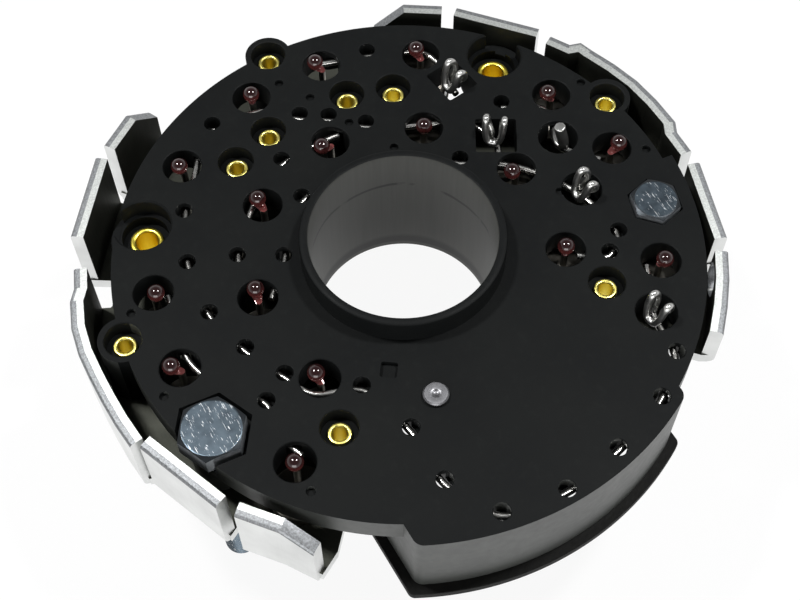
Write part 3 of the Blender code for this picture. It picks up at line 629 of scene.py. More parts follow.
def seal_rubber():
    finish = Finish("seal_rubber", (0.006, 0.006, 0.006), 0.6, specular=0.1)
    place_mm = finish.coords()
    finish.set("Base Color", finish.mix(finish.noise(place_mm, 0.5, 4.0),
                                        (0.003, 0.003, 0.003), (0.009, 0.009, 0.008)))
    finish.bump(finish.noise(place_mm, 0.9, 3.0), 0.5, 0.25)
    return finish.material


def sheet_aluminium(name, colour, roughness):
    finish = Finish(name, colour, roughness, 1.0)
    place_mm = finish.coords()
    rolled = finish.noise(finish.coords(scale=(1.0, 1.0, 0.08)), 1.6, 4.0)
    patch = finish.noise(place_mm, 0.09, 3.0)
    dark = tuple(c * 0.72 for c in colour)
    finish.set("Base Color", finish.mix(finish.ramp(patch, (0.35, 0.0), (0.7, 1.0)) * 0.6,
                                        colour, dark))
    finish.set("Roughness", rolled * 0.2 + (roughness - 0.1))
    finish.bump(rolled, 0.15, 0.05)
    return finish.material


def cut_edge(name, colour, roughness, streak):
    """Cut edge of the sheet, streaked across by the punch."""
    finish = Finish(name, colour, roughness, 0.9)
    grain = finish.noise(finish.coords(scale=(1.0, 1.0, 0.15)), 2.4, 5.0, 0.7)
    dark = tuple(c * streak for c in colour)
    finish.set("Base Color", finish.mix(finish.ramp(grain, (0.38, 0.0), (0.62, 1.0)),
                                        dark, colour))
    finish.bump(grain, 0.35, 0.12)
    return finish.material


def plain_metal(name, colour, roughness, tint=0.8, scale=0.8):
    finish = Finish(name, colour, roughness, 1.0)
    cloud = finish.noise(finish.coords(), scale, 4.0)
    dark = tuple(c * tint for c in colour)
    finish.set("Base Color", finish.mix(cloud, dark, colour))
    finish.set("Roughness", cloud * 0.2 + (roughness - 0.1))
    finish.bump(cloud, 0.1, 0.05)
    return finish.material


def lacquered_bead():
    """Red lacquer on solder, with a painted dark reflection on its top and paler below."""
    finish = Finish("bead_lacquer", (0.20, 0.035, 0.03), 0.13, 0.2, 0.6)
    place_mm = finish.coords()
    painted_reflection_from = 7.28        # of 0.3 times the height, a little under the bead
    level = finish.axis(place_mm, "Z") * 0.3 + finish.noise(place_mm, 0.9, 3.0) * 0.25
    # painted reflection: the bead's top darkens as if it mirrored the dark space overhead
    high = finish.ramp(level - painted_reflection_from, (0.35, 0.0), (0.85, 1.0))
    finish.set("Base Color", finish.mix(high, (0.15, 0.036, 0.034), (0.018, 0.005, 0.005)))
    return finish.material


def scratched_zinc():
    """Zinc plate with long fine scratches across it."""
    finish = Finish("zinc_bolt", (0.26, 0.32, 0.37), 0.34, 1.0)
    place_mm = finish.coords()
    cloud = finish.noise(place_mm, 0.5, 4.0)
    marks = 0.0
    for turn in (0.2, 1.2, 2.2):
        stretched = finish.coords(scale=(1.0, 0.1, 1.0), turn=(0.0, 0.0, turn))
        line = finish.ramp(finish.noise(stretched, 4.0, 2.0, 0.6), (0.67, 0.0), (0.7, 1.0))
        marks = line * 0.7 + marks
    clean = finish.mix(cloud, (0.05, 0.065, 0.08), (0.11, 0.14, 0.165))
    finish.set("Base Color", finish.mix(marks, clean, (0.92, 0.94, 0.95)))
    finish.set("Roughness", cloud * 0.2 + 0.24)
    finish.bump(marks, 0.4, 0.05)
    return finish.material


LOOKS = {
    "moulding": black_plastic(),
    "wall": wall_plastic(),
    "bore": bore_plastic(),
    "seal": seal_rubber(),
    "sheet": sheet_aluminium("sheet_aluminium", (0.80, 0.81, 0.80), 0.34),
    "edge": cut_edge("sheared_edge", (0.66, 0.68, 0.66), 0.42, 0.72),
    # painted shade: the rolled outer band of the cut edge, darkened as it tilts away from the
    # light; its streaks are the punch's
    "roll": cut_edge("roll_edge_painted_shade", (0.30, 0.31, 0.32), 0.5, 0.55),
    # painted shade: dark sheet for the floors' tops and the fins' inner faces, which lie in shade
    "shade": sheet_aluminium("shaded_sheet", (0.060, 0.062, 0.052), 0.55),
    "rivet": plain_metal("yellow_rivet", (0.96, 0.84, 0.24), 0.34, 0.85),
    "bush": plain_metal("yellow_bush", (0.98, 0.80, 0.12), 0.32, 0.85),
    "bolt": scratched_zinc(),
    # painted shade on the head's chamfer, and next a painted reflection of the pale floor on its
    # upright flats
    "chamfer": plain_metal("zinc_chamfer_painted_shade", (0.045, 0.05, 0.055), 0.4),
    "flats": plain_metal("zinc_flats_painted_reflection", (0.72, 0.76, 0.80), 0.45),
    "pin": plain_metal("steel_rivet", (0.21, 0.21, 0.22), 0.38),
    "wire": plain_metal("tinned_wire", (0.66, 0.65, 0.62), 0.24),
    "hook": plain_metal("tinned_hook", (0.58, 0.58, 0.56), 0.3, 0.9, 0.4),
    "diode": plain_metal("diode_case", (0.34, 0.32, 0.28), 0.4),
    "bead": lacquered_bead(),
}


# Moulding and seal
def upright(edge):
    return abs(edge.verts[0].co.z - edge.verts[1].co.z) > 0.5 * MM


def mouth(radius, top, flare, share=0.35):
    """Eased mouth of a round hole, up to a little over the face that it opens in."""
    return [(radius, top - flare), (radius + flare * share, top - flare * share),
            (radius + flare, top), (radius + flare, top + 1)]


def round_cutter(at, radius, low, sides, flare=0.3):
    """Cutter of a round pocket from the face down, its mouth eased."""
    return turned("cutter", [(radius, low)] + mouth(radius, FACE, flare), sides, at)


def square_cutter(at, width, depth, low, turn):
    top = FACE + 1
    cutter = block("cutter", (width, depth, top - low), place(at, (top + low) / 2), turn)
    bevel_edges(cutter, upright, 0.5, 3)
    return cutter


def hexagon_outline(bolt, room=0.0):
    centre = place(bolt["at"]) / MM
    radius = (bolt["flats"] / 2 + room) / math.cos(math.pi / 6)
    return [(centre.x + radius * math.cos(math.radians(60 * i + bolt["turn"])),
             centre.y + radius * math.sin(math.radians(60 * i + bolt["turn"]))) for i in range(6)]


def box_solid(name, grow, back, low, high):
    """Lobe of the plan between two parallel sides, its outer corners round."""
    radius, half = BOX_R + grow, BOX_HALF + grow
    lobe = cylinder(name, radius, low, high, sides=240)
    bisect(lobe, (half * MM, 0, 0), (1, 0, 0))
    bisect(lobe, (-half * MM, 0, 0), (-1, 0, 0))
    bisect(lobe, (0, back * MM, 0), (0, 1, 0))
    reach = math.sqrt(radius ** 2 - half ** 2)

    def outer_corner(edge):
        x, y = edge.verts[0].co.to_2d()
        beside_reach = abs(abs(x) - half * MM) < 0.1 * MM and abs(y + reach * MM) < 0.3 * MM
        return upright(edge) and beside_reach

    bevel_edges(lobe, outer_corner, BOX_CORNER + grow, 8)
    return lobe


def beside(ring, angle, side):
    return (ring + side * WIRE_SIDE, angle)


def routes():
    """Plan routes of the wires, from the diodes, windows and hooks that they pass."""
    w = WINDOWS
    hook = [spec["at"] for spec in HOOKS]
    outer, inner = OUTER_RING, INNER_RING
    odd = DIODES[-3:]
    return {
        "phase_wire_1": [(46.6, 44.0), hook[0], (52.5, 48.5), beside(outer, 55.2, 1), w["k"],
                         beside(outer, 80.2, 1)],
        "phase_wire_2": [(35.2, 21.0), hook[1], (39.4, 38.0), beside(inner, 51.4, 1), w["d"],
                         w["c"], w["b"], beside(outer, 99.8, -1), (53.5, 104.5)],
        "phase_wire_3": [beside(outer, 359.4, -1), (48.6, 4.0), hook[2], (49.6, 15.0),
                         beside(outer, 20.5, -1), w["l"]],
        "phase_wire_4": [beside(*odd[1], 1), w["o"], w["n"], hook[3], (39.2, 1.0),
                         beside(inner, 9.6, 1), (31.5, 22.0), w["m"], (27.4, 48.0), (27.2, 64.0),
                         (26.9, 90.0), w["f"], (26.4, 135.0), w["j"], beside(inner, 170.7, -1)],
        "phase_wire_5": [beside(*odd[2], -1), (54.6, 319.5), hook[4], w["end"], w["z"],
                         w["y"], w["x"], w["w"], w["v"], w["u"], w["s"], beside(*odd[0], 1),
                         w["r"], w["q"], w["p"], w["h"], w["g"], beside(outer, 125.5, -1),
                         (54.4, 118.5), w["a"]],
        "link_wire_1": [(inner + WIRE_SIDE, 84.0), beside(inner, 89.5, 1), w["e"],
                        beside(inner, 129.0, 1), w["i"], (34.2, 163.0)],
        "link_wire_2": [beside(outer, 161.0, -1), beside(outer, 181.5, -1), w["t"],
                        (50.0, 209.0), beside(outer, 216.2, -1)],
    }


def channel_cutter(route):
    """Strip along a wire's route, for the channel in the back of the plate."""
    plan = smooth_route([place(point).to_2d() for point in route], 4.0 * MM)
    left, right = [], []
    for i, point in enumerate(plan):
        along = (plan[min(i + 1, len(plan) - 1)] - plan[max(i - 1, 0)]).normalized()
        side = Vector((-along.y, along.x)) * CHANNEL_HALF * MM
        end = -along if i == 0 else along if i == len(plan) - 1 else Vector((0, 0))
        left.append((point + side + end * CHANNEL_HALF * MM) / MM)
        right.append((point - side + end * CHANNEL_HALF * MM) / MM)
    return flat_shape("cutter", left + right[::-1], PLATE_BACK - 1, FACE - SKIN)


def pillars():
    """Pillars under the plate around rivets, bolts and bushes, down to the heat sinks."""
    top = PLATE_BACK + 1
    forms = [cylinder("pillar", RIVET_PILLAR_R, floor_top(at) + GAP, top, at, 32)
             for at in RIVETS[:-EDGE_RIVETS]]
    forms += [cylinder("pillar", bolt["pillar_r"], floor_top(bolt["at"]) + GAP, top, bolt["at"], 40)
              for bolt in BOLTS]
    for at in BUSHES:
        low = floor_top(at) + GAP
        forms.append(turned("pillar", [(BUSH_FOOT_R, 0.0), (BUSH_FOOT_R, low),
                                       (BUSH_PILLAR_R, low), (BUSH_PILLAR_R, top)], 48, at))
    return forms


def pockets():
    """Cutters of the windows, pockets and blind holes that open in the face."""
    low = PLATE_BACK - 1
    cutters = [round_cutter(at, WINDOW_R, low, 40) for at in DIODES]
    for spec in HOOKS:
        if spec["pocket"]:
            cutters.append(square_cutter(spec["at"], *spec["pocket"], low, spec["turn"]))
        else:
            cutters.append(round_cutter(spec["at"], HOOK_HOLE_R, low, 40))
    cutters += [round_cutter(at, RIVET_POCKET_R, FACE - RIVET_POCKET_DEPTH, 40) for at in RIVETS]
    step, shelf = FACE - BUSH_STEP_DEPTH, FACE - BUSH_POCKET_DEPTH
    wide = BUSH_POCKET_R + BUSH_MOUTH
    profile = [(BUSH_STEP_R, step), (BUSH_STEP_R, shelf), (BUSH_POCKET_R, shelf),
               (BUSH_POCKET_R, FACE - BUSH_MOUTH), (wide, FACE), (wide, FACE + 1)]
    cutters += [turned("cutter", profile, 56, at) for at in BUSHES]
    cutters.append(square_cutter(SQUARE["at"], SQUARE["side"], SQUARE["side"],
                                 FACE - SQUARE["depth"], SQUARE["at"][1]))
    cutters += [round_cutter(at, PINHOLE_R, FACE - PINHOLE_DEPTH, 20, 0.15) for at in PINHOLES]
    for bolt in BOLTS:
        seat = FACE + bolt["proud"] - bolt["head"] - GAP
        cutters.append(flat_shape("cutter", hexagon_outline(bolt, bolt["room"]), seat, FACE + 1))
    return cutters


def passages():
    """Cutters of the holes down through the pillars, of the wires' windows and channels."""
    low = FLOORS["long"] - 1
    cutters = [cylinder("cutter", RIVET_R + GAP, low, FACE, at, 32) for at in RIVETS]
    cutters += [cylinder("cutter", BUSH_R + GAP, -1, FACE, at, 40) for at in BUSHES]
    cutters += [cylinder("cutter", bolt["r"] + GAP, low, FACE, bolt["at"], 40) for bolt in BOLTS]
    cutters.append(cylinder("cutter", PIN_R + GAP, PLATE_BACK - 1, FACE + 1, PIN_AT, 24))
    cutters += [round_cutter(at, WIRE_WINDOW_R, FACE - WIRE_WINDOW_DEPTH, 28, 0.2)
                for at in WINDOWS.values()]
    return cutters + [channel_cutter(route) for route in routes().values()]


def moulding_look(face):
    """The bore and the outer walls are given a greyer colour than the face plate: painted light and
    sheen on the same plastic.
    """
    plan = face.center.to_2d()
    outward = plan.normalized().dot(face.normal.to_2d())
    if outward < -0.9 and plan.length < (BORE_R + 0.1) * MM:
        return "bore"
    if outward > 0.5 and plan.length > OUTER_WALLS_FROM * MM:
        return "wall"
    return "wall" if plan.y < BOX_SIDES_FROM * MM and abs(face.normal.x) > 0.9 else "moulding"


def moulding():
    body = cylinder("moulding", PLATE_R, PLATE_BACK, FACE, sides=240)
    shoulder = cylinder("shoulder", SHOULDER_R, PLATE_BACK, FACE, sides=240)
    for angle, sign in zip(SHOULDER_SPAN, (-1, 1)):
        bisect(shoulder, (0, 0, 0), place((1.0, angle + 90)) / MM * sign)
    boolean(body, shoulder, "UNION")
    boolean(body, box_solid("box", 0.0, BOX_BACK, BOX_FOOT, FACE), "UNION")
    for at in RIVETS[-EDGE_RIVETS:]:
        boolean(body, cylinder("ear", EAR_R, floor_top(at) + GAP, FACE, at, 40), "UNION")

    def top_rim(edge):
        flat = all(abs(v.co.z - FACE * MM) < 1e-6 for v in edge.verts)
        return flat and any(abs(face.normal.z) < 0.5 for face in edge.link_faces)

    bevel_edges(body, top_rim, RIM_ROUND, 2)
    tube = turned("tube", [(TUBE_R, TUBE_FOOT), (TUBE_R, TUBE_TOP - 0.7),
                           (TUBE_R - 0.2, TUBE_TOP - 0.25), (TUBE_R - 0.65, TUBE_TOP),
                           (BORE_R + TUBE_LIP, TUBE_TOP)], 128)
    boolean(body, joined("forms", [tube] + pillars()), "UNION")
    cavity = box_solid("cavity", -BOX_WALL, BOX_BACK - BOX_WALL, -1, PLATE_BACK)
    boolean(body, cavity, "DIFFERENCE")
    bore = [(BORE_R, TUBE_FOOT - 1)] + mouth(BORE_R, TUBE_TOP, TUBE_LIP, 0.3)
    boolean(body, turned("cutter", bore, 128), "DIFFERENCE")
    boolean(body, joined("cutters", pockets() + passages()), "DIFFERENCE")
    finished(body, ("moulding", "wall", "bore"), "insulator_moulding", angle=30,
             choose=moulding_look)


def box_seal():
    hole = BOX_WALL + SEAL_INSET
    seal = box_solid("seal", SEAL_OVERHANG, BOX_BACK + SEAL_OVERHANG, 0, SEAL_THICK)
    boolean(seal, box_solid("opening", -hole, BOX_BACK - hole, -1, SEAL_THICK + 1), "DIFFERENCE")

    def rim(edge):
        sharp = len(edge.link_faces) == 2 and edge.calc_face_angle(0) > 1.0
        return sharp and abs(edge.verts[0].co.z - edge.verts[1].co.z) < 1e-6

    bevel_edges(seal, rim, 0.5, 3)
    finished(seal, ("seal",), "box_seal")


# Heat sinks
def fin(stations, low):
    """Upright wall of sheet: a plane drawn along its stations and thickened."""
    points = [place((radius, angle), low) for angle, radius in stations]
    rise = Vector((0, 0, (FACE - low) * MM))
    deselect()
    bpy.ops.mesh.primitive_plane_add(size=MM)
    obj = added("fin")
    corners = (points[0], points[1], points[0] + rise, points[1] + rise)
    for vertex, corner in zip(obj.data.vertices, corners):
        vertex.co = corner
    for before, after in zip(points[1:], points[2:]):
        def last_station(edge):
            return all((v.co.to_2d() - before.to_2d()).length < 1e-7 for v in edge.verts)

        on_edges(obj, last_station, bpy.ops.mesh.extrude_edges_move,
                 TRANSFORM_OT_translate={"value": after - before})
    edit_all()
    close_outward()
    outward = obj.data.polygons[0].normal.dot(points[0] + points[1]) > 0
    modify(obj, "SOLIDIFY", thickness=SHEET * MM, offset=1.0 if outward else -1.0,
           use_even_offset=True)
    return obj


def depth_in_fin(point, stations):
    """How far a point lies outside a fin's inner face, in plan; OFF_FIN beside the fin."""
    depths = [OFF_FIN]
    for start, end in zip(stations, stations[1:]):
        a, b = (place((radius, angle)).to_2d() for angle, radius in (start, end))
        along = (b - a).normalized()
        offset = point.to_2d() - a
        if -SHEET * MM < offset.dot(along) < (b - a).length + SHEET * MM:
            depths.append(abs(offset.x * along.y - offset.y * along.x))
    return min(depths)


def split_top(obj, stations, low):
    """Divide the top of a fin along its middle, for its sheared half and its rolled half in painted
    shade.
    """
    def across(edge):
        a, b = (depth_in_fin(v.co, stations) for v in edge.verts)
        high = edge.verts[0].co.z > (low + FOOT_BAND) * MM
        level = abs(edge.verts[0].co.z - edge.verts[1].co.z) < 1e-6
        return high and level and abs(a - b) > OUTER_FROM * MM

    on_edges(obj, across, bpy.ops.mesh.subdivide, number_cuts=1)


def fin_roundings(obj, stations, low):
    """Bend under the fin and the rolled edges of its outer face."""
    def outside(edge):
        return all(OUTER_FROM * MM < depth_in_fin(v.co, stations) < 2 * SHEET * MM
                   for v in edge.verts)

    def foot(edge):
        under = all(abs(v.co.z - low * MM) < 1e-6 for v in edge.verts)
        return under and outside(edge) and edge.calc_face_angle(0) > 1.0

    def rolled(edge):
        high = all(v.co.z > (low + FOOT_BAND) * MM for v in edge.verts)
        return high and outside(edge) and edge.calc_face_angle(0) > 0.9

    bevel_edges(obj, foot, 2.2, 5)
    bevel_edges(obj, rolled, 0.9, 3)


def floor_outline(fins, start, end):
    """Plan of a floor: a little into its fins, back to a notch between two, and round the tube."""
    outer = []
    for i, stations in enumerate(fins):
        last_angle, last_radius = fins[i - 1][-1]
        left, right = last_angle + NOTCH_EASE, stations[0][0] - NOTCH_EASE
        if i:
            outer.append((last_radius + FLOOR_REACH, left))
        if i and stations[0][0] - last_angle > 1:
            rise, run = NOTCH_CORNER
            outer += [(NOTCH_R + rise, left), (NOTCH_R, left + run), (NOTCH_R, right - run),
                      (NOTCH_R + rise, right), (stations[0][1] + FLOOR_REACH, right)]
        outer += [(radius + FLOOR_REACH, angle + NOTCH_EASE) for angle, radius in stations[:-1]]
    last_angle, last_radius = fins[-1][-1]
    outer += [(last_radius + FLOOR_REACH, last_angle + NOTCH_EASE)]
    first_angle, first_radius = fins[0][0]
    if first_angle - start > PLAIN_EDGE:
        lead_in = arc(FLOOR_R, start, first_angle - NOTCH_GAP)
    else:
        lead_in = [place((first_radius, start)).to_2d() / MM]
    edge = [place(point).to_2d() / MM for point in outer + [(last_radius - END_CORNER, end)]]
    return lead_in + edge + arc(SINK_INNER_R, end, start, 3.0)


def cut_corner(wall, stations, low_end, high_angle):
    """Cut a fin's top corner off, along the plane through the cut's two ends."""
    low_angle, drop = low_end
    radii = dict(stations)
    low = place((radii[low_angle], low_angle), FACE - drop)
    high = place((radii[high_angle], high_angle), FACE)
    normal = (high - low).cross(place((1.0, low_angle)))
    bisect(wall, low, (normal if normal.z > 0 else -normal).normalized())


def fin_hole():
    """Cutter of the round hole through the first short fin."""
    deselect()
    bpy.ops.mesh.primitive_cylinder_add(
        vertices=40, radius=FIN_HOLE["r"] * MM, depth=10 * MM,
        location=place(FIN_HOLE["at"], FACE - FIN_HOLE["drop"]),
        rotation=(0, math.pi / 2, math.radians(FIN_HOLE["at"][1])))
    return added("cutter")


def lead_slot(low, high):
    """Cutter of the slot in the short sink's floor, for a stator lead."""
    near, far, radius = LEAD_SLOT
    along = (place(far) - place(near)).to_2d().normalized() * radius
    outline = [place(at).to_2d() / MM + Matrix.Rotation(math.radians(first + 15 * i), 2) @ along
               for at, first in ((near, 90), (far, -90)) for i in range(13)]
    return flat_shape("cutter", outline, low, high)


def heat_sink(kind, fins, start, end, bolt):
    floor = FLOORS[kind]
    low = floor - SHEET
    body = flat_shape(kind + "_sink", floor_outline(fins, start, end), low, floor)
    for i, stations in enumerate(fins):
        wall = fin(stations, low)
        if (kind, i) in FIN_CUTS:
            cut_corner(wall, stations, *FIN_CUTS[kind, i])
        split_top(wall, stations, low)
        fin_roundings(wall, stations, low)
        boolean(body, wall, "UNION")
    holes = [(at, DIODE_R + GAP, 48) for at in DIODES] + [(at, RIVET_R + GAP, 28) for at in RIVETS]
    holes += [(at, BUSH_FOOT_R + GAP, 40) for at in BUSHES] + [(bolt["at"], bolt["r"] + GAP, 40)]
    cutters = [cylinder("cutter", radius, low - 1, floor + 1, at, sides)
               for at, radius, sides in holes if start < at[1] < end or start < at[1] + 360 < end]
    if kind == "short":
        cutters += [fin_hole(), lead_slot(low - 1, floor + 1)]
    boolean(body, joined("holes", cutters), "DIFFERENCE")

    def look(face):
        """Sheared band and rolled band in painted shade on the cut edge, and painted shade on
        floors and inner faces.
        """
        level = face.normal.z
        high = face.center.z > (floor + 0.5) * MM
        if high and level > 0.985:
            depth = min(depth_in_fin(face.center, stations) for stations in fins)
            return "edge" if depth < SHEET * 0.5 * MM else "roll"
        if high and level > 0.2:
            return "roll"
        # floors' tops and inward faces of the fins get the painted shade
        inward = face.normal.to_2d().dot(face.center.to_2d().normalized()) < -0.5
        return "shade" if level > 0.5 or high and inward else "sheet"

    finished(body, ("sheet", "edge", "roll", "shade"), kind + "_heat_sink", angle=28,
             choose=look)


# Small pieces
def diodes():
    """Pressed diodes; the lead is as long as the floor's level asks."""
    for floor in FLOORS.values():
        profile = (lifted(DIODE_RIM, floor - SHEET - GAP) + lifted(DIODE_CAP, floor + DIODE_BODY)
                   + [(LEAD_R, LEAD_TOP)] + lifted(BEAD, FACE))
        pattern = turned("diode_pattern", profile, 32)
        for i, (at, bead_at) in enumerate(zip(DIODES, BEADS_AT), 1):
            if floor_top(at) == floor:
                piece = twin(pattern, f"diode_{i:02}_dressed", place(at))
                for vertex in piece.data.vertices:
                    if vertex.co.z > (LEAD_TOP + 0.1) * MM:
                        vertex.co += Vector((*bead_at, 0)) * MM
                finished(piece, ("diode", "bead"), f"diode_{i:02}",
                         choose=lambda face: "bead" if face.center.z > LEAD_TOP * MM else "diode")
        bpy.data.objects.remove(pattern, do_unlink=True)


def rivets():
    """Tubular rivets, their ring low in the pocket and their foot flared under the sheet."""
    for floor in FLOORS.values():
        profile = (lifted(RIVET_RING, FACE - RIVET_POCKET_DEPTH + GAP)
                   + lifted(RIVET_FLARE, floor - SHEET - GAP))
        pattern = turned("rivet_pattern", profile, 40, closed=True)
        for i, at in enumerate(RIVETS, 1):
            if floor_top(at) == floor:
                piece = twin(pattern, f"rivet_{i}_dressed", place(at))
                finished(piece, ("rivet",), f"tubular_rivet_{i}")
        bpy.data.objects.remove(pattern, do_unlink=True)


def bushes():
    profile = lifted(BUSH_RING, FACE - BUSH_STEP_DEPTH + GAP) + [(BUSH_R, 0.0), (BUSH_BORE_R, 0.0)]
    pattern = turned("bush_pattern", profile, 56, closed=True)
    for i, at in enumerate(BUSHES, 1):
        piece = twin(pattern, f"bush_{i}_dressed", place(at))
        finished(piece, ("bush",), f"mounting_bush_{i}")
    bpy.data.objects.remove(pattern, do_unlink=True)


def hexagon_sizes(bolt):
    """Half the width across flats and across corners, and how far the chamfer drops."""
    half = bolt["flats"] / 2
    reach = half / math.cos(math.pi / 6)
    return half, reach, (reach - half * BOLT_EDGE) * math.tan(math.radians(30)) + 0.58


def thread(bolt, under):
    """Profile of a threaded shank, from its eased end up into the head."""
    r, pitch, end = bolt["r"], bolt["pitch"], bolt["end"]
    profile = [(r - 0.9, end), (r - 0.2, end + 0.7)]
    for i in range(int((under - end - 1.0) / pitch)):
        z = end + 0.9 + i * pitch
        profile += [(r, z + pitch * 0.12), (r, z + pitch * 0.3),
                    (r * THREAD_ROOT, z + pitch * 0.65), (r * THREAD_ROOT, z + pitch * 0.8)]
    return profile + [(r, under + 0.3)]


def headed_bolt(bolt):
    """Hexagon head with a chamfered top, on its threaded shank."""
    top = FACE + bolt["proud"]
    under = top - bolt["head"]
    half, reach, drop = hexagon_sizes(bolt)
    head = flat_shape(bolt["name"] + "_head", hexagon_outline(bolt), under, top)
    dome = [(reach + 1, under - 1), (reach + 1, top - drop), (half * BOLT_EDGE, top - 0.05),
            (half * BOLT_FLAT, top)]
    boolean(head, turned("dome", dome, 72, bolt["at"]), "INTERSECT")
    boolean(head, turned("shank", thread(bolt, under), 36, bolt["at"]), "UNION")

    def look(face):
        # the chamfer's faces get painted shade, the upright flats a painted reflection of the floor
        up = face.normal.z
        if face.center.z <= (under + 0.2) * MM or not -0.1 < up < 0.98:
            return "bolt"
        return "flats" if up < 0.1 else "chamfer"

    finished(head, ("bolt", "chamfer", "flats"), bolt["name"] + "_bolt", angle=30,
             choose=look)


def washer(bolt, low, top):
    hole, rim = bolt["r"] + GAP, bolt["washer_r"]
    profile = [(hole, low + 0.1), (hole, top - 0.1), (hole + 0.1, top), (rim - 0.2, top),
               (rim, top - 0.2), (rim, low + 0.2), (rim - 0.2, low), (hole + 0.1, low)]
    ring = turned(bolt["name"] + "_ring", profile, 56, bolt["at"], closed=True)
    finished(ring, ("bolt",), bolt["name"] + "_washer")


def nut(bolt, low, top):
    half, reach, drop = hexagon_sizes(bolt)
    body = flat_shape(bolt["name"] + "_hexagon", hexagon_outline(bolt), low, top)
    dome = [(half * BOLT_FLAT, low), (half * BOLT_EDGE, low + 0.05), (reach + 0.6, low + drop),
            (reach + 0.6, top - drop), (half * BOLT_EDGE, top - 0.05), (half * BOLT_FLAT, top)]
    boolean(body, turned("dome", dome, 72, bolt["at"]), "INTERSECT")
    bore = cylinder("bore", bolt["r"] + GAP, low - 1, top + 1, bolt["at"], 48)
    boolean(body, bore, "DIFFERENCE")
    finished(body, ("bolt",), bolt["name"] + "_nut", angle=30)


def bolts():
    """Each bolt with its washer and its nut under the sheet."""
    for bolt in BOLTS:
        headed_bolt(bolt)
        washer_top = floor_top(bolt["at"]) - SHEET - GAP
        washer_low = washer_top - bolt["washer"]
        washer(bolt, washer_low, washer_top)
        nut(bolt, washer_low - GAP - bolt["nut"], washer_low - GAP)


def solid_rivet():
    profile = lifted(PIN_TAIL, PLATE_BACK) + lifted(PIN_HEAD, FACE + GAP)
    finished(turned("pin_dressed", profile, 48, PIN_AT), ("pin",), "solid_rivet")


def wires():
    for name, route in routes().items():
        points = smooth_route([place(point, WIRE_Z) for point in route], 2.0 * MM)
        finished(wire(name + "_dressed", points), ("wire",), name, angle=60)


def hook_route(spec):
    """Middle line of a hook: two arches joined by a loop, both legs down to the wire below."""
    spin = Matrix.Rotation(math.radians(spec["lean"]), 3, "Z")
    path = []
    for side in (-1, 1):
        half = [place(at, FACE) + spin @ Vector((side * x, y, z)) * MM
                for at, line in ((spec["hook"], HOOK_HALF), (spec["at"], HOOK_FEET))
                for x, y, z in line]
        path = half[::-1] if side < 0 else path + half[1:]
    return path


def hooks():
    """Bent wire hooks, and the stub of thicker wire with a rounded rim."""
    rounding, stub_rim = STUB_TOP

    def top_rim(edge):
        return edge.calc_face_angle(0) > 1.2 and edge.verts[0].co.z > (FACE + stub_rim) * MM

    for i, spec in enumerate(HOOKS, 1):
        if spec["hook"]:
            piece = wire(f"hook_{i}_dressed", smooth_route(hook_route(spec), 0.4 * MM))
        else:
            route = [place(spec["at"], FACE) + Vector(point) * MM for point in STUB]
            piece = wire(f"hook_{i}_dressed", smooth_route(route, 0.4 * MM), STUB_R)
            bevel_edges(piece, top_rim, rounding, 4)
        finished(piece, ("hook",), f"stator_hook_{i}", angle=60)


# Stage, light and camera
def stage():
    deselect()
    bpy.ops.mesh.primitive_plane_add(size=6.0, location=(0, 0, cad_low.z - 0.0005))
    floor = added("floor")
    finish = Finish("pale_floor", (0.86, 0.86, 0.86), 0.9)
    camera_ray = finish.node("ShaderNodeLightPath", output="Is Camera Ray")
    glossy_ray = finish.node("ShaderNodeLightPath", output="Is Glossy Ray")
    seen = camera_ray.maths("MAXIMUM", camera_ray, glossy_ray)
    glow = finish.node("ShaderNodeEmission", {}, {"Color": (1, 1, 1, 1), "Strength": 1.0})
    shaded = Value(finish, finish.shader.outputs[0])
    both = finish.node("ShaderNodeMixShader", {}, {0: seen * 0.9, 1: shaded, 2: glow})
    finish.put(finish.tree.nodes["Material Output"].inputs["Surface"], both)
    floor.data.materials.append(finish.material)


def lamp(name, location, size, watts):
    """Soft lamp, turned to the object."""
    deselect()
    bpy.ops.object.light_add(type="AREA", location=location)
    light = bpy.context.object
    light.name = name
    light.rotation_euler = (-Vector(location)).to_track_quat("-Z", "Y").to_euler()
    light.data.shape = "RECTANGLE"
    light.data.size, light.data.size_y = size
    light.data.energy = watts


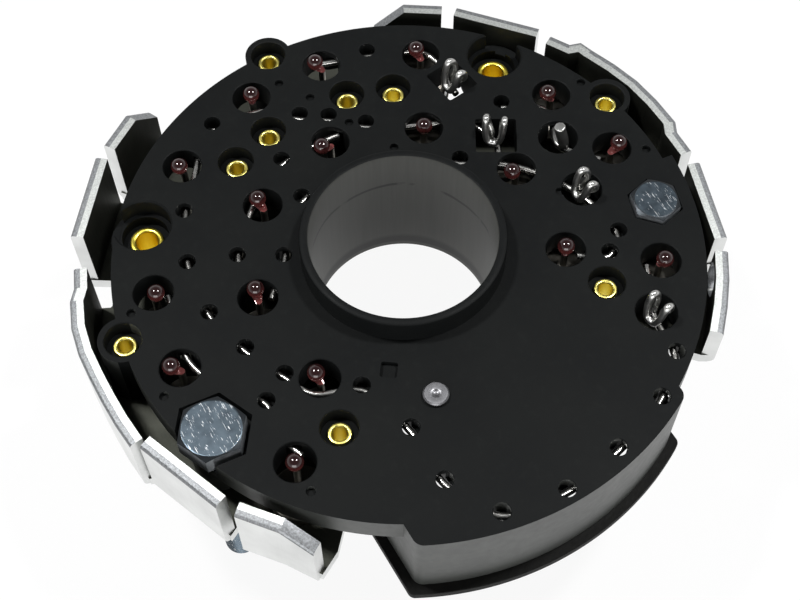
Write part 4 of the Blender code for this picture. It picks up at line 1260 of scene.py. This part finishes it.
def world():
    """Pale sweep that darkens overhead, and is plain white where the camera sees it."""
    studio = bpy.data.worlds.new("studio")
    bpy.context.scene.world = studio
    studio.use_nodes = True
    nodes = Nodes(studio.node_tree)
    height = nodes.axis(nodes.node("ShaderNodeTexCoord", output="Generated"), "Z")
    sweep = nodes.ramp(height, (0.25, (1.0, 1.0, 1.0)), (0.7, (0.16, 0.165, 0.17)))
    room = nodes.node("ShaderNodeBackground", {}, {"Color": sweep, "Strength": 0.8})
    white = nodes.node("ShaderNodeBackground", {}, {"Color": (1, 1, 1, 1), "Strength": 1.0})
    camera_ray = nodes.node("ShaderNodeLightPath", output="Is Camera Ray")
    blend = nodes.node("ShaderNodeMixShader", {}, {0: camera_ray, 1: room, 2: white})
    nodes.put(nodes.tree.nodes["World Output"].inputs["Surface"], blend)


def camera():
    """Eye on a line through a point of the face, as the photograph was taken."""
    target = Vector((-7.078, -10.671, FACE)) * MM
    distance = 0.30451
    elevation, azimuth, roll = (math.radians(angle) for angle in (59.961, -120.0, -0.445))
    back = Vector((math.cos(azimuth) * math.cos(elevation),
                   math.sin(azimuth) * math.cos(elevation), math.sin(elevation)))
    deselect()
    bpy.ops.object.camera_add(location=target + back * distance)
    eye = bpy.context.object
    eye.name = "camera"
    facing = (-back).to_track_quat("-Z", "Y").to_matrix()
    eye.rotation_euler = (facing @ Matrix.Rotation(roll, 3, "Z")).to_euler()
    eye.data.lens = 64.07
    eye.data.sensor_width = 36.0
    eye.data.clip_start = 0.01
    bpy.context.scene.camera = eye


moulding()
box_seal()
heat_sink("long", LONG_FINS, SPLIT[0], LONG_END, BOLTS[0])
heat_sink("short", SHORT_FINS, SHORT_START, 360 + SPLIT[1], BOLTS[1])
diodes()
rivets()
bushes()
bolts()
solid_rivet()
wires()
hooks()

stage()
world()
lamp("lamp_left", (-0.22, 0.24, 0.74), (0.09, 0.09), 4.0)
lamp("lamp_right", (0.32, -0.07, 0.74), (0.09, 0.09), 4.0)
lamp("soft_front", (-0.5, -0.75, 0.35), (0.8, 0.5), 5.0)
camera()
bpy.context.scene.view_settings.view_transform = "Standard"
